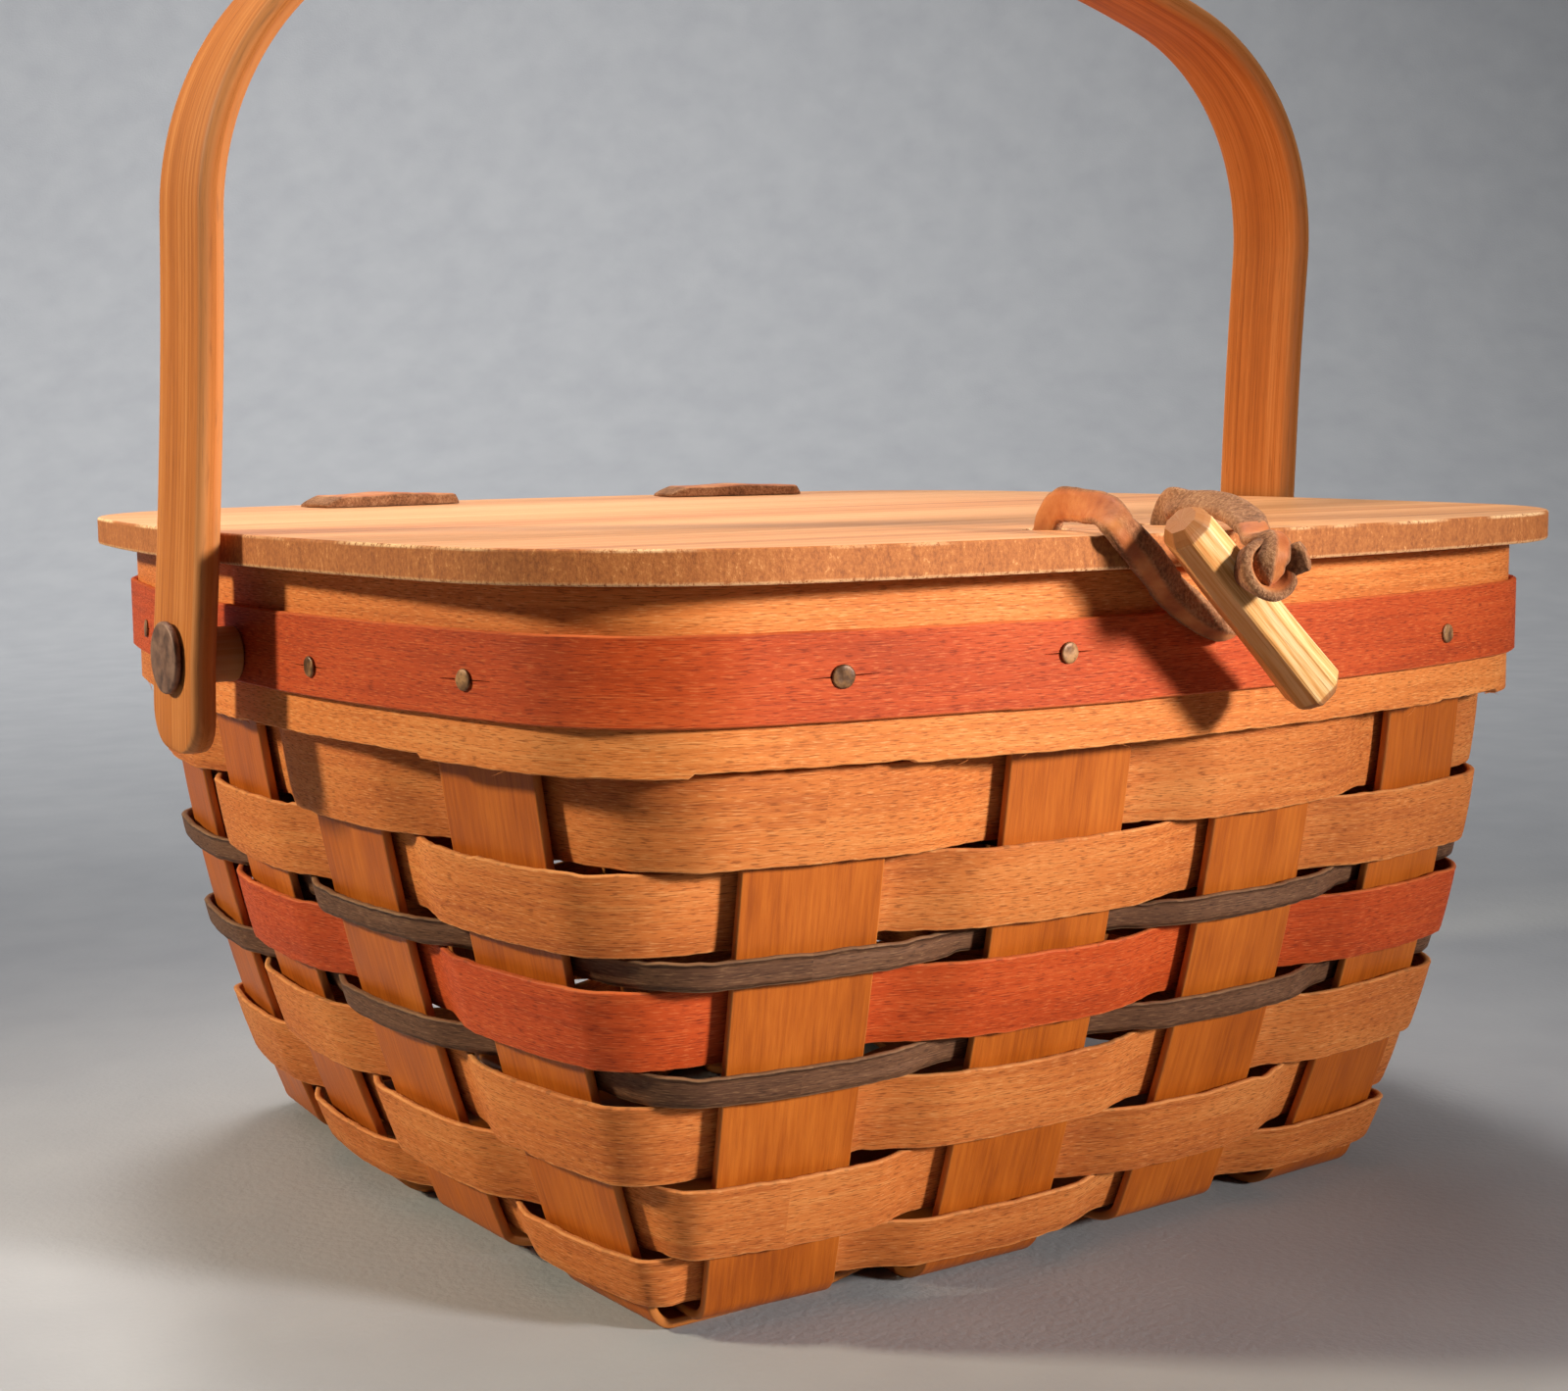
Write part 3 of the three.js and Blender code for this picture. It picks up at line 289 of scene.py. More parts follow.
def finish(name, patterns, faces, marks, rough, relief, depth, made=None, **constants):
    """A material in layers. patterns are noises: the space that they lie in, the sizes of their
    features along it in mm, their detail and their roughness. The space is the grain map, the
    object's own place, or that place bent by the pattern called warp. made are products of
    patterns. faces are colour ramps over weighed patterns, and the first is called main. marks
    lay a face or a colour over it where their limits say. rough is a limit or a number, and
    relief weighs patterns into a height of depth mm."""
    material = bpy.data.materials.new(name)
    material.use_nodes = True
    tree = material.node_tree
    tree.nodes.clear()
    spaces = {"grain": add_node(tree, "ShaderNodeUVMap", uv_map="grain").outputs["UV"],
              "place": add_node(tree, "ShaderNodeTexCoord").outputs["Object"]}
    signals = {"edge": add_node(tree, "ShaderNodeAttribute", attribute_name="edge").outputs["Fac"]}
    for signal, space, axis in (("around", "grain", "Y"), ("rise", "place", "Z")):
        signals[signal] = add_node(tree, "ShaderNodeSeparateXYZ",
                                   {"Vector": spaces[space]}).outputs[axis]
    for pattern, (space, sizes, detail, grit) in patterns.items():
        if space == "bent" and space not in spaces:
            shift = masked(tree, signals, [("warp", 0.3, 0.7, -BOARD_WARP * MM, BOARD_WARP * MM)])
            along = add_node(tree, "ShaderNodeCombineXYZ", {"Y": shift}).outputs["Vector"]
            spaces[space] = add_node(tree, "ShaderNodeVectorMath", {0: spaces["place"], 1: along},
                                     operation="ADD").outputs["Vector"]
        mapping = add_node(tree, "ShaderNodeMapping", {
            "Vector": spaces[space], "Scale": [1 / (size * MM) for size in sizes]})
        signals[pattern] = add_node(tree, "ShaderNodeTexNoise", {
            "Vector": mapping.outputs["Vector"], "Scale": 1.0, "Detail": detail,
            "Roughness": grit}).outputs["Fac"]
    for signal, limits in (made or {}).items():
        signals[signal] = masked(tree, signals, limits)
    inks = {}
    for face, (weights, tones) in faces.items():
        node = add_node(tree, "ShaderNodeValToRGB", {"Fac": weighed(tree, signals, weights)})
        stops = node.color_ramp.elements
        for place, _ in tones[1:-1]:
            stops.new(place)
        for stop, (place, tone) in zip(stops, tones):
            stop.position, stop.color = place, colour(tone)
        inks[face] = node.outputs["Color"]
    base = inks["main"]
    for ink, *limits in marks:
        over = inks[ink] if ink in inks else colour(ink)
        base = add_node(tree, "ShaderNodeMix", {0: masked(tree, signals, limits), 6: base, 7: over},
                        data_type="RGBA").outputs[2]
    bump = add_node(tree, "ShaderNodeBump", {"Height": weighed(tree, signals, relief),
                                             "Strength": 1.0, "Distance": depth * MM})
    shader = add_node(tree, "ShaderNodeBsdfPrincipled", {
        "Base Color": base, "Normal": bump.outputs["Normal"],
        "Roughness": masked(tree, signals, [rough]) if isinstance(rough, tuple) else rough})
    for setting, value in constants.items():
        shader.inputs[setting.replace("_", " ")].default_value = value
    add_node(tree, "ShaderNodeOutputMaterial", {"Surface": shader.outputs["BSDF"]})
    return material


WOOD_IOR = 1.5
LEATHER_IOR = 1.5
# How far the board's grain wanders off its straight line, in mm
BOARD_WARP = 4

# Split hardwood splints, rubbed with stain: torn fibres lie along them as short dark and pale
# dashes, and their cut edges are a little paler. Each has its name, three tones, the dark
# dashes' tone, the pale one, its roughness and how far its fibres stand up in mm.
SPLINT_STAINS = {
    "natural": ("honey_stained_splint", "#ae5926", "#c97133", "#d78746", "#763a15", "#e29d5f",
                0.62, 0.06),
    "brown": ("brown_dyed_splint", "#533525", "#68452f", "#7a5640", "#38241a", "#96704f",
              0.58, 0.03),
    "red": ("brick_dyed_splint", "#a33a11", "#bc4717", "#c95724", "#74260c", "#d97741", 0.55, 0.04),
    "rim": ("honey_stained_band", "#bc642a", "#d67b38", "#e4914d", "#8b481b", "#ecab69",
            0.56, 0.05),
}
STAINS = {
    stain: finish(
        name,
        {"cloud": ("grain", (45, 14, 1), 2, 0.55), "streak": ("grain", (26, 1.1, 1), 3, 0.6),
         "dash": ("grain", (2.0, 0.2, 1), 2, 0.5), "fine": ("grain", (7, 0.22, 1), 2, 0.6)},
        {"main": ({"cloud": 0.45, "streak": 0.55}, [(0.32, dark), (0.5, middle), (0.68, pale)])},
        [(fleck, ("dash", 0.56, 0.64, 0, 0.65)), (light, ("dash", 0.42, 0.34, 0, 0.5)),
         (light, ("edge", 0, 1), ("streak", 0.35, 0.65, 0.25, 0.9))],
        ("dash", 0.3, 0.7, roughness, roughness + 0.14),
        {"dash": -0.6, "fine": 0.5, "streak": 1}, depth, IOR=WOOD_IOR, Specular_IOR_Level=0.22)
    for stain, (name, dark, middle, pale, fleck, light, roughness, depth) in SPLINT_STAINS.items()
}

# The uprights are smoother than the weavers and took more stain: deep amber, with soft streaks
# up the grain and a low sheen.
STAINS["stake"] = finish(
    "amber_stained_upright",
    {"cloud": ("grain", (30, 11, 1), 3, 0.55), "streak": ("grain", (14, 0.8, 1), 4, 0.65),
     "pore": ("grain", (3, 0.2, 1), 2, 0.5)},
    {"main": ({"cloud": 0.5, "streak": 0.5}, [(0.36, "#97470c"), (0.5, "#b15912"), (0.64, "#c3691c")])},
    [("#7d3f13", ("pore", 0.6, 0.75, 0, 0.3)), ("#ca8644", ("edge", 0, 1, 0, 0.45))],
    ("cloud", 0.3, 0.7, 0.42, 0.55), {"streak": 1, "pore": 0.5}, 0.03,
    IOR=WOOD_IOR, Specular_IOR_Level=0.3)

# Planed board of an open-pored hardwood: long straight stripes of early and late wood along X,
# and pores as short dark lines. Its sawn edges are darker and rougher, with a pale fringe of
# torn wood along the bottom and in patches along the top.
BOARD = finish(
    "planed_lid_board",
    {"warp": ("place", (160, 60, 60), 2, 0.55), "broad": ("bent", (420, 17, 90), 2, 0.55),
     "stripe": ("bent", (260, 3.4, 40), 3, 0.6), "pore": ("bent", (6, 0.32, 0.4), 2, 0.6),
     "pit": ("place", (0.55, 0.55, 0.8), 3, 0.75), "saw": ("place", (1.6, 1.6, 7), 2, 0.6),
     "patch": ("place", (24, 24, 24), 2, 0.55)},
    {"main": ({"broad": 0.5, "stripe": 0.5},
              [(0.33, "#b87040"), (0.45, "#d6925a"), (0.57, "#e5a56d"), (0.7, "#edb27c")]),
     "sawn": ({"pit": 0.72, "saw": 0.28},
              [(0.34, "#8f4f22"), (0.48, "#ad632c"), (0.6, "#bd7338"), (0.68, "#dd9b5f")])},
    [("#8c5226", ("pore", 0.58, 0.72, 0, 0.5)), ("sawn", ("edge", 0, 1)),
     ("#f3c48f", ("rise", (LID_TOP - FRINGE) * MM, (LID_TOP - FRINGE / 2) * MM),
      ("patch", 0.44, 0.54), ("pit", 0.38, 0.5), ("edge", 0, 1)),
     ("#f3c48f", ("rise", (LID_BOTTOM + FRINGE) * MM, LID_BOTTOM * MM), ("pit", 0.38, 0.5),
      ("edge", 0, 1))],
    ("edge", 0, 1, 0.46, 0.75), {"stripe": 0.7, "pore": -0.6, "sawn_pit": 1.3}, 0.07,
    {"sawn_pit": [("pit", 0, 1), ("edge", 0, 1)]}, IOR=WOOD_IOR, Specular_IOR_Level=0.4)

# Steam-bent strap of a straight-grained wood: fine lines along its length, stained brown, with
# a worn low sheen.
BENTWOOD = finish(
    "steam_bent_strap",
    {"cloud": ("grain", (90, 7, 1), 2, 0.55), "line": ("grain", (120, 0.9, 1), 3, 0.65),
     "pore": ("grain", (8, 0.25, 1), 2, 0.6)},
    {"main": ({"cloud": 0.4, "line": 0.6}, [(0.34, "#985323"), (0.5, "#bd7034"), (0.66, "#d1884b")])},
    [("#71401c", ("pore", 0.57, 0.72, 0, 0.5)), ("#d8a472", ("edge", 0, 1, 0, 0.3))],
    ("line", 0.3, 0.7, 0.5, 0.64), {"line": 1, "pore": -0.7}, 0.05,
    IOR=WOOD_IOR, Specular_IOR_Level=0.12)

# Whittled straw-coloured hardwood: brown streaks run along it, and its ends are brown. Its lower
# front flats are a deeper orange: partly stain rubbed in there, partly painted shade for the side
# that the lamps leave dark.
PEG_WOOD = finish(
    "whittled_peg_wood",
    {"streak": ("grain", (26, 1.1, 1), 3, 0.65), "line": ("grain", (14, 0.3, 1), 3, 0.65)},
    {"main": ({"streak": 1}, [(0.36, "#c4813c"), (0.46, "#e6ac66"), (0.58, "#f5cd93")])},
    [("#8d5522", ("line", 0.57, 0.68, 0, 0.6)),
     # The lower front flats: a deeper orange, partly stain and partly painted shade.
     ("#dc8c42", ("around", -1.0 * MM, -4.5 * MM, 0, 0.6)), ("#a0602f", ("edge", 0, 1, 0, 0.9))],
    ("line", 0.3, 0.7, 0.48, 0.62), {"line": 1}, 0.06, IOR=WOOD_IOR, Specular_IOR_Level=0.4)

# Oil-tanned leather: smooth orange-brown grain side, with a brown, fuzzy flesh side and edges.
# The edge attribute says which side shows.
LEATHER = finish(
    "oil_tanned_leather",
    {"cloud": ("place", (6, 6, 6), 3, 0.55), "grit": ("place", (0.55, 0.55, 0.55), 3, 0.7),
     "crease": ("place", (1.6, 1.6, 1.6), 4, 0.7)},
    {"main": ({"cloud": 1}, [(0.34, "#9c4f24"), (0.5, "#b96a36"), (0.66, "#ca8249")]),
     "flesh": ({"grit": 0.6, "cloud": 0.4}, [(0.34, "#5f3a22"), (0.5, "#936240"), (0.66, "#bb8a62")])},
    [("flesh", ("edge", 0, 1))], ("edge", 0, 1, 0.6, 0.92), {"crease": 0.7, "fuzz": 1}, 0.14,
    {"fuzz": [("grit", 0, 1), ("edge", 0, 1, 0.5, 2.2)]},
    IOR=LEATHER_IOR, Specular_IOR_Level=0.25, Sheen_Weight=0.05, Sheen_Roughness=0.5)

# Solid brass that has gone dull and brown in handling, with small dark specks
TACK_METAL, RIVET_METAL = (
    finish(name, {"cloud": ("place", (2.6, 2.6, 2.6), 3, 0.6), "speck": ("place", (0.5, 0.5, 0.5), 2, 0.6)},
           {"main": ({"cloud": 1}, [(0.36, dark), (0.5, middle), (0.64, pale)])},
           [(dark, ("speck", 0.58, 0.7, 0, 0.6))],
           ("cloud", 0.3, 0.7, roughness - 0.08, roughness + 0.12), {"cloud": 1, "speck": 0.5}, 0.05,
           Metallic=0.25)
    for name, dark, middle, pale, roughness in (
        ("brown_brass_tack", "#5a3a20", "#8a5f38", "#b08050", 0.5),
        ("brown_brass_rivet", "#553a2b", "#765341", "#876450", 0.52)))


# Mesh helpers

def wander(rng, count, spacing, step, closed=True):
    """A smooth random line of count values in -1..1, with a new bend every spacing/step values."""
    knots = max(4, int(round(count * step / spacing)))
    heights = rng.uniform(-1, 1, knots)
    places = np.arange(count) * knots / count
    low = np.floor(places).astype(int)
    share = places - low
    share = share * share * (3 - 2 * share)
    after = (low + 1) % knots if closed else np.minimum(low + 1, knots - 1)
    return heights[low % knots] * (1 - share) + heights[after] * share


def skin(name, count, section, closed_along, material, spot):
    """A skin along count stations. For each entry of the section round it, spot gives its points
    along the skin in mm, its places in the grain map along and across, and its wear."""
    around = len(section)
    rings, uvs = np.zeros((count, around, 3)), np.zeros((count, around, 2))
    edge = np.zeros((count, around))
    for n, entry in enumerate(section):
        rings[:, n], uvs[:, n, 0], uvs[:, n, 1], edge[:, n] = spot(*entry)
    faces = []
    for ring in range(count if closed_along else count - 1):
        here, there = ring * around, ((ring + 1) % count) * around
        for side in range(around):
            turn = (side + 1) % around
            faces.append((here + side, there + side, there + turn, here + turn))
    if not closed_along:
        last = (count - 1) * around
        faces.append(tuple(range(around)))
        faces.append(tuple(last + side for side in reversed(range(around))))
    mesh = bpy.data.meshes.new(name)
    mesh.from_pydata((rings.reshape(-1, 3) * MM).tolist(), [], faces)
    add_grain(mesh, uvs, count, around, closed_along)
    add_edge(mesh, edge.reshape(-1))
    mesh.validate()
    face_out(mesh)
    return add_piece(name, mesh, material)


def add_grain(mesh, uvs, count, around, closed_along):
    """The grain map, whose last span runs on past the start instead of jumping back to it."""
    flat = uvs.reshape(-1, 2)
    whole = uvs[-1, 0, 0] + uvs[1, 0, 0] - 2 * uvs[0, 0, 0]
    layer = mesh.uv_layers.new(name="grain")
    values = np.zeros((len(mesh.loops), 2))
    for polygon in mesh.polygons:
        corners = [mesh.loops[i].vertex_index for i in polygon.loop_indices]
        rows = [corner // around for corner in corners]
        wraps = closed_along and min(rows) == 0 and max(rows) == count - 1
        for loop, corner, row in zip(polygon.loop_indices, corners, rows):
            u, v = flat[corner]
            values[loop] = ((u + (whole if wraps and row == 0 else 0)) * MM, v * MM)
    layer.data.foreach_set("uv", values.reshape(-1))


def add_edge(mesh, values):
    """The share of worn or cut edge at each point, which the materials read. On the handle's
    spacers it is painted shade instead.
    """
    mesh.attributes.new("edge", "FLOAT", "POINT").data.foreach_set("value", values)


def face_out(mesh):
    """Turns a closed mesh's faces outwards."""
    work = bmesh.new()
    work.from_mesh(mesh)
    if work.calc_volume(signed=True) < 0:
        bmesh.ops.reverse_faces(work, faces=work.faces)
    work.to_mesh(mesh)
    work.free()


def add_object(name, data):
    made = bpy.data.objects.new(name, data)
    bpy.context.scene.collection.objects.link(made)
    return made


def add_piece(name, mesh, material, smooth=True):
    mesh.materials.append(material)
    mesh.polygons.foreach_set("use_smooth", [smooth] * len(mesh.polygons))
    return add_object(name, mesh)


def evaluated_mesh(holder):
    depsgraph = bpy.context.evaluated_depsgraph_get()
    return bpy.data.meshes.new_from_object(holder.evaluated_get(depsgraph))


def apply_modifiers(piece):
    """Turns the piece's modifiers into plain mesh."""
    mesh = evaluated_mesh(piece)
    piece.modifiers.clear()
    piece.data = mesh


def cut_out(piece, work):
    """Cuts a working mesh's solids out of a piece."""
    mesh = bpy.data.meshes.new("cutter")
    work.to_mesh(mesh)
    work.free()
    cutter = add_object("cutter", mesh)
    boolean = piece.modifiers.new("cut", "BOOLEAN")
    boolean.object = cutter
    boolean.solver = "EXACT"
    apply_modifiers(piece)
    bpy.data.objects.remove(cutter)


def stand_for(piece, body, slot, *nodes):
    """The piece replaces CAD nodes and rides on their body. slot is not used."""
    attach(piece, body)
    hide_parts(*nodes)
    return piece


def mix(low, high, share):
    return low + (high - low) * share


def unit(rows):
    return rows / np.linalg.norm(rows, axis=1)[:, None]


def run_length(points):
    """How far along a line each of its points is."""
    return np.concatenate([[0], np.cumsum(np.linalg.norm(np.diff(points, axis=0), axis=1))])


def place_round(points, spot, turn):
    """Turns points about Z and moves them to a spot."""
    cos, sin = math.cos(turn), math.sin(turn)
    x, y = points[..., 0] * cos - points[..., 1] * sin, points[..., 0] * sin + points[..., 1] * cos
    return np.stack([x + spot[0], y + spot[1], points[..., 2]], -1)


# Plan outline and wall, as the frame has them

class Outline:
    """A square plan with bowed sides and round corners: four side arcs and four corner arcs,
    tangent to each other. Side 0 is the front, then right, back and left, and length runs
    along a side from its middle."""

    def __init__(self, half, side_radius, corner_radius):
        self.side_radius, self.corner_radius = side_radius, corner_radius
        self.back = side_radius - half
        reach = side_radius - corner_radius
        self.corner = (math.sqrt(2 * reach * reach - self.back * self.back) - self.back) / 2
        self.turn = math.atan2(self.corner, self.corner + self.back)
        self.side = side_radius * self.turn
        self.reach = self.side + corner_radius * (QUARTER / 2 - self.turn)

    def at(self, distance, offset=0.0):
        """Places and outward directions at distances round the outline from the front's middle,
        as arrays (n, 2)."""
        distance = np.asarray(distance, float)
        side = np.floor((distance + self.reach) / (2 * self.reach))
        length = distance - 2 * self.reach * side
        far, sign = np.abs(length), np.where(length < 0, -1.0, 1.0)
        on_side = far <= self.side
        angle = sign * np.where(on_side, far / self.side_radius,
                                self.turn + (far - self.side) / self.corner_radius)
        radius = np.where(on_side, self.side_radius, self.corner_radius) + offset
        x = np.where(on_side, -self.back, self.corner) + radius * np.cos(angle)
        y = np.where(on_side, 0.0, sign * self.corner) + radius * np.sin(angle)
        turn = (side - 1) * QUARTER
        cos, sin = np.cos(turn), np.sin(turn)
        place = np.stack([x * cos - y * sin, x * sin + y * cos], -1)
        out = np.stack([np.cos(angle + turn), np.sin(angle + turn)], -1)
        return place, out


def wall_outline(z):
    rise = z / STAKE_TOP
    half = mix(BASE_HALF, TOP_HALF, rise) + WALL_BULGE * rise * (1 - rise)
    side_radius = 1 / mix(1 / BASE_SIDE_RADIUS, 1 / TOP_SIDE_RADIUS, rise)
    return Outline(half, side_radius, mix(BASE_CORNER_RADIUS, TOP_CORNER_RADIUS, rise))


def stake_place(i, z):
    rise = z / STAKE_TOP
    pitch = mix(PITCH_BASE, PITCH_TOP, rise) + PITCH_SWELL * rise * (1 - rise)
    return (i - (STAKES_PER_SIDE - 1) / 2) * pitch


def stake_length(outline, i, z):
    return outline.side_radius * math.asin(stake_place(i, z) / outline.side_radius)


EDGE_SHOULDER = 0.12


def splint_section(width_steps, rounding):
    """A splint's section, round from its outer face: how far across it each point is as a share,
    its inset in mm, how far through the thickness it is, and its wear."""
    flat = [-1 + 2 * (i + 0.5) / width_steps for i in range(width_steps)]
    outer = [(a, 0.0, 1.0, 0.0) for a in flat]
    inner = [(a, 0.0, -1.0, 0.0) for a in reversed(flat)]
    down = [(-rounding - EDGE_SHOULDER, 1.0, 0.0), (-rounding, 1.0, 0.5),
            (-0.3 * rounding, 0.72, 1.0), (0.0, 0.25, 1.0)]
    high = [(1, *entry) for entry in down]
    high += [(1, step, -through, wear) for step, through, wear in reversed(down)]
    low = [(-1, step, -through, wear) for _, step, through, wear in high]
    return outer + high + inner + low


# Woven rows
UPRIGHTS = 4 * STAKES_PER_SIDE
WEAVE_SWING = (STAKE_THICKNESS + WEAVER_THICKNESS) / 2 + WEAVE_GAP
FLAT_REACH = STAKE_WIDTH / 2 + FLAT_MARGIN
ROW_STEP = 0.8


def weave_line(shares, z, row):
    """Where a row's middle runs at one height: the wall's outline, distances round it at shares
    of the way round, each upright being one step of 1, and the swing in and out."""
    outline = wall_outline(z)
    knots = np.array([2 * outline.reach * side + stake_length(outline, i, z)
                      for side in range(4) for i in range(STAKES_PER_SIDE)])
    knots = np.append(knots, knots[0] + 8 * outline.reach)
    span = np.floor(shares).astype(int)
    start, distance = knots[span], knots[span + 1] - knots[span]
    along = (shares - span) * distance
    sign = np.where((span + row) % 2 == 0, 1.0, -1.0)
    crossing = np.clip((along - FLAT_REACH) / (distance - 2 * FLAT_REACH), 0, 1)
    crest = np.cos(np.pi * along / distance)
    swing = sign * (WEAVE_SWING * np.cos(np.pi * crossing) + WEAVER_CREST * crest * np.abs(crest))
    return outline, start + along, swing


def weave_row(row, stain):
    """One row: a splint that runs in and out round all the uprights, with a slightly ragged
    pair of edges."""
    rng = np.random.default_rng(100 + row)
    low, high = ROW_EDGES[row + 1], ROW_EDGES[row] - ROW_GAP
    middle, half = (low + high) / 2, (high - low) / 2
    count = int(8 * wall_outline(middle).reach / ROW_STEP)
    shares = np.arange(count) * UPRIGHTS / count
    edges = {}
    for sign in (-1, 1):
        fray = wander(rng, count, 1.6, ROW_STEP) * 0.09 + wander(rng, count, 4.5, ROW_STEP) * 0.08
        nick = np.clip(wander(rng, count, 7, ROW_STEP) - 0.72, 0, 1) * 1.1
        edges[sign] = wander(rng, count, 38, ROW_STEP) * 0.22 + fray - nick
    cup = 0.12 + 0.08 * wander(rng, count, 60, ROW_STEP)

    def spot(across, step, through, worn):
        outline, distance, swing = weave_line(shares, middle + across * half, row)
        sign = 1 if across > 0 else -1
        place, _ = outline.at(distance, -STAKE_THICKNESS / 2 + swing
                              + through * WEAVER_THICKNESS / 2 - cup * across * across)
        z = middle + across * half + sign * (step + edges[sign] * abs(across))
        return (np.column_stack([place, z]), np.arange(count) * ROW_STEP + 977 * row,
                across * half + (40 if through < 0 else 0), worn)

    piece = skin(f"row_{row + 1}_splint", count, splint_section(7, 0.22), True, STAINS[stain], spot)
    stand_for(piece, "basket", f"{stain}_splint", f"weaver_row_{row + 1}")


for row, stain in enumerate(ROW_STAINS):
    weave_row(row, stain)


# Uprights and floor
FLOOR_LOW = STAKE_THICKNESS / 2
FLOOR_HIGH = FLOOR_LOW + STAKE_THICKNESS + FLOOR_GAP
FLOOR_STEP = 1.5
BEND_STEPS = 10
WALL_STEPS = 56


def half_upright(i, is_over):
    """Half of a strip's middle line, from the floor's middle to the top of the front wall, with
    its width's direction at each point."""
    place = stake_place(i, 0)
    reach = STAKE_WIDTH / 2 + CROSSING_MARGIN
    middles = [stake_place(crossing, 0) for crossing in (1, 0)]
    levels = [FLOOR_HIGH if is_over(crossing) else FLOOR_LOW for crossing in (1, 0)]
    points, across = [], []
    start = middles[1] - reach
    for y in np.arange(0, start, -FLOOR_STEP)[1:]:
        share = np.clip((middles[0] - reach - y) / (middles[0] - middles[1] - 2 * reach), 0, 1)
        share = share * share * (3 - 2 * share)
        points.append((place, y, mix(levels[0], levels[1], share)))
        across.append((1, 0, 0))

    def wall_point(z):
        outline = wall_outline(z)
        spot, out = outline.at([stake_length(outline, i, z)], -STAKE_THICKNESS / 2)
        return np.array([*spot[0], z]), np.array([-out[0][1], out[0][0], 0])

    top, top_across = wall_point(BEND_TOP)
    above, _ = wall_point(BEND_TOP + STAKE_THICKNESS)
    slope = (above[1] - top[1]) / STAKE_THICKNESS
    first = np.array([place, start, levels[1]])
    knee = np.array([top[0], top[1] - slope * (BEND_TOP - levels[1]), levels[1]])
    for t in np.arange(BEND_STEPS) / BEND_STEPS:
        points.append((1 - t) ** 2 * first + 2 * t * (1 - t) * knee + t * t * top)
        turned = mix(np.array([1.0, 0, 0]), top_across, t)
        across.append(turned / np.linalg.norm(turned))
    for t in np.arange(WALL_STEPS + 1) / WALL_STEPS:
        spot, wide = wall_point(mix(BEND_TOP, STAKE_TOP, t))
        points.append(spot)
        across.append(wide)
    return np.array(points, float), np.array(across, float)


def upright(name, i, turn, is_over, seed):
    """One strip: two uprights and the floor between them."""
    rng = np.random.default_rng(seed)
    front, front_across = half_upright(i, is_over)
    back, back_across = half_upright(i, lambda crossing: is_over(STAKES_PER_SIDE - 1 - crossing))
    mirror = np.array([1, -1, 1])
    middle = np.array([[stake_place(i, 0), 0, (front[0][2] + back[0][2]) / 2]])
    points = np.concatenate([(back * mirror)[::-1], middle, front])
    across = np.concatenate([(back_across * mirror)[::-1], [[1, 0, 0]], front_across])
    normal = unit(np.cross(unit(np.gradient(points, axis=0)), across))
    length = run_length(points)
    count = len(points)
    sides = {sign: 0.12 * wander(rng, count, 30, 2, False) for sign in (-1, 1)}

    def spot(share, step, through, worn):
        sign = 1 if share > 0 else -1
        wide = share * STAKE_WIDTH / 2 + sign * (step + sides[sign] * abs(share))
        place = points + across * wide[:, None] + normal * through * STAKE_THICKNESS / 2
        return (place_round(place, (0, 0), turn), length + 613 * seed,
                share * STAKE_WIDTH / 2 + (50 if through < 0 else 0), worn)

    piece = skin(f"{name}_splint", count, splint_section(6, 0.25), False, STAINS["stake"], spot)
    stand_for(piece, "basket", "stake_splint", name)


for i in range(STAKES_PER_SIDE):
    upright(f"stake_across_{i + 1}", i, 0, lambda crossing, i=i: (i + crossing) % 2 == 0, 20 + i)
    upright(f"stake_along_{i + 1}", i, QUARTER,
            lambda crossing, i=i: (i + STAKES_PER_SIDE - 1 - crossing) % 2 == 1, 30 + i)


# Rim
RIM = wall_outline(STAKE_TOP)
RIM_STEP = 0.8


def rim_ring(name, stain, inner, thickness, bottom, top, seed, ragged):
    """A bent band round the rim. ragged is how far its lower edge wanders, in mm."""
    rng = np.random.default_rng(seed)
    count = int(8 * RIM.reach / RIM_STEP)
    distance = np.arange(count) * 8 * RIM.reach / count
    run = rng.integers(18, 60, count // 18)
    steps = np.repeat(rng.uniform(-1, 1, len(run)), run)[:count]
    fray = wander(rng, count, 2.2, RIM_STEP) * 0.3 + wander(rng, count, 1.2, RIM_STEP) * 0.2
    low_edge = ragged * (0.8 * steps + 0.25 * wander(rng, count, 22, RIM_STEP) + 0.45 * fray)
    high_edge = 0.06 * wander(rng, count, 5, RIM_STEP) + 0.08 * wander(rng, count, 60, RIM_STEP)

    def spot(across, step, through, worn):
        sign, edge = (1, high_edge) if across > 0 else (-1, -low_edge)
        z = mix(bottom, top, (across + 1) / 2) + sign * (step + edge * abs(across) ** 3)
        place, _ = RIM.at(distance, inner + thickness * (through + 1) / 2)
        return (np.column_stack([place, z]), np.arange(count) * RIM_STEP + 331 * seed,
                z + (60 if through < 0 else 0), worn)

    return skin(name, count, splint_section(9, 0.25), True, STAINS[stain], spot)


def rim_tack_seats():
    """Where every rim tack's head rests, and which way it faces."""
    seats = []
    for side in range(4):
        for along, rise in zip(TACK_ALONG[side], TACK_RISE[side]):
            place, out = RIM.at([2 * RIM.reach * side + along * RIM.reach], TRIM_INNER + TRIM_THICKNESS)
            z = (TRIM_BOTTOM + TRIM_TOP) / 2 + rise * (TRIM_TOP - TRIM_BOTTOM)
            seats.append(((*place[0], z), (*out[0], 0)))
    return seats


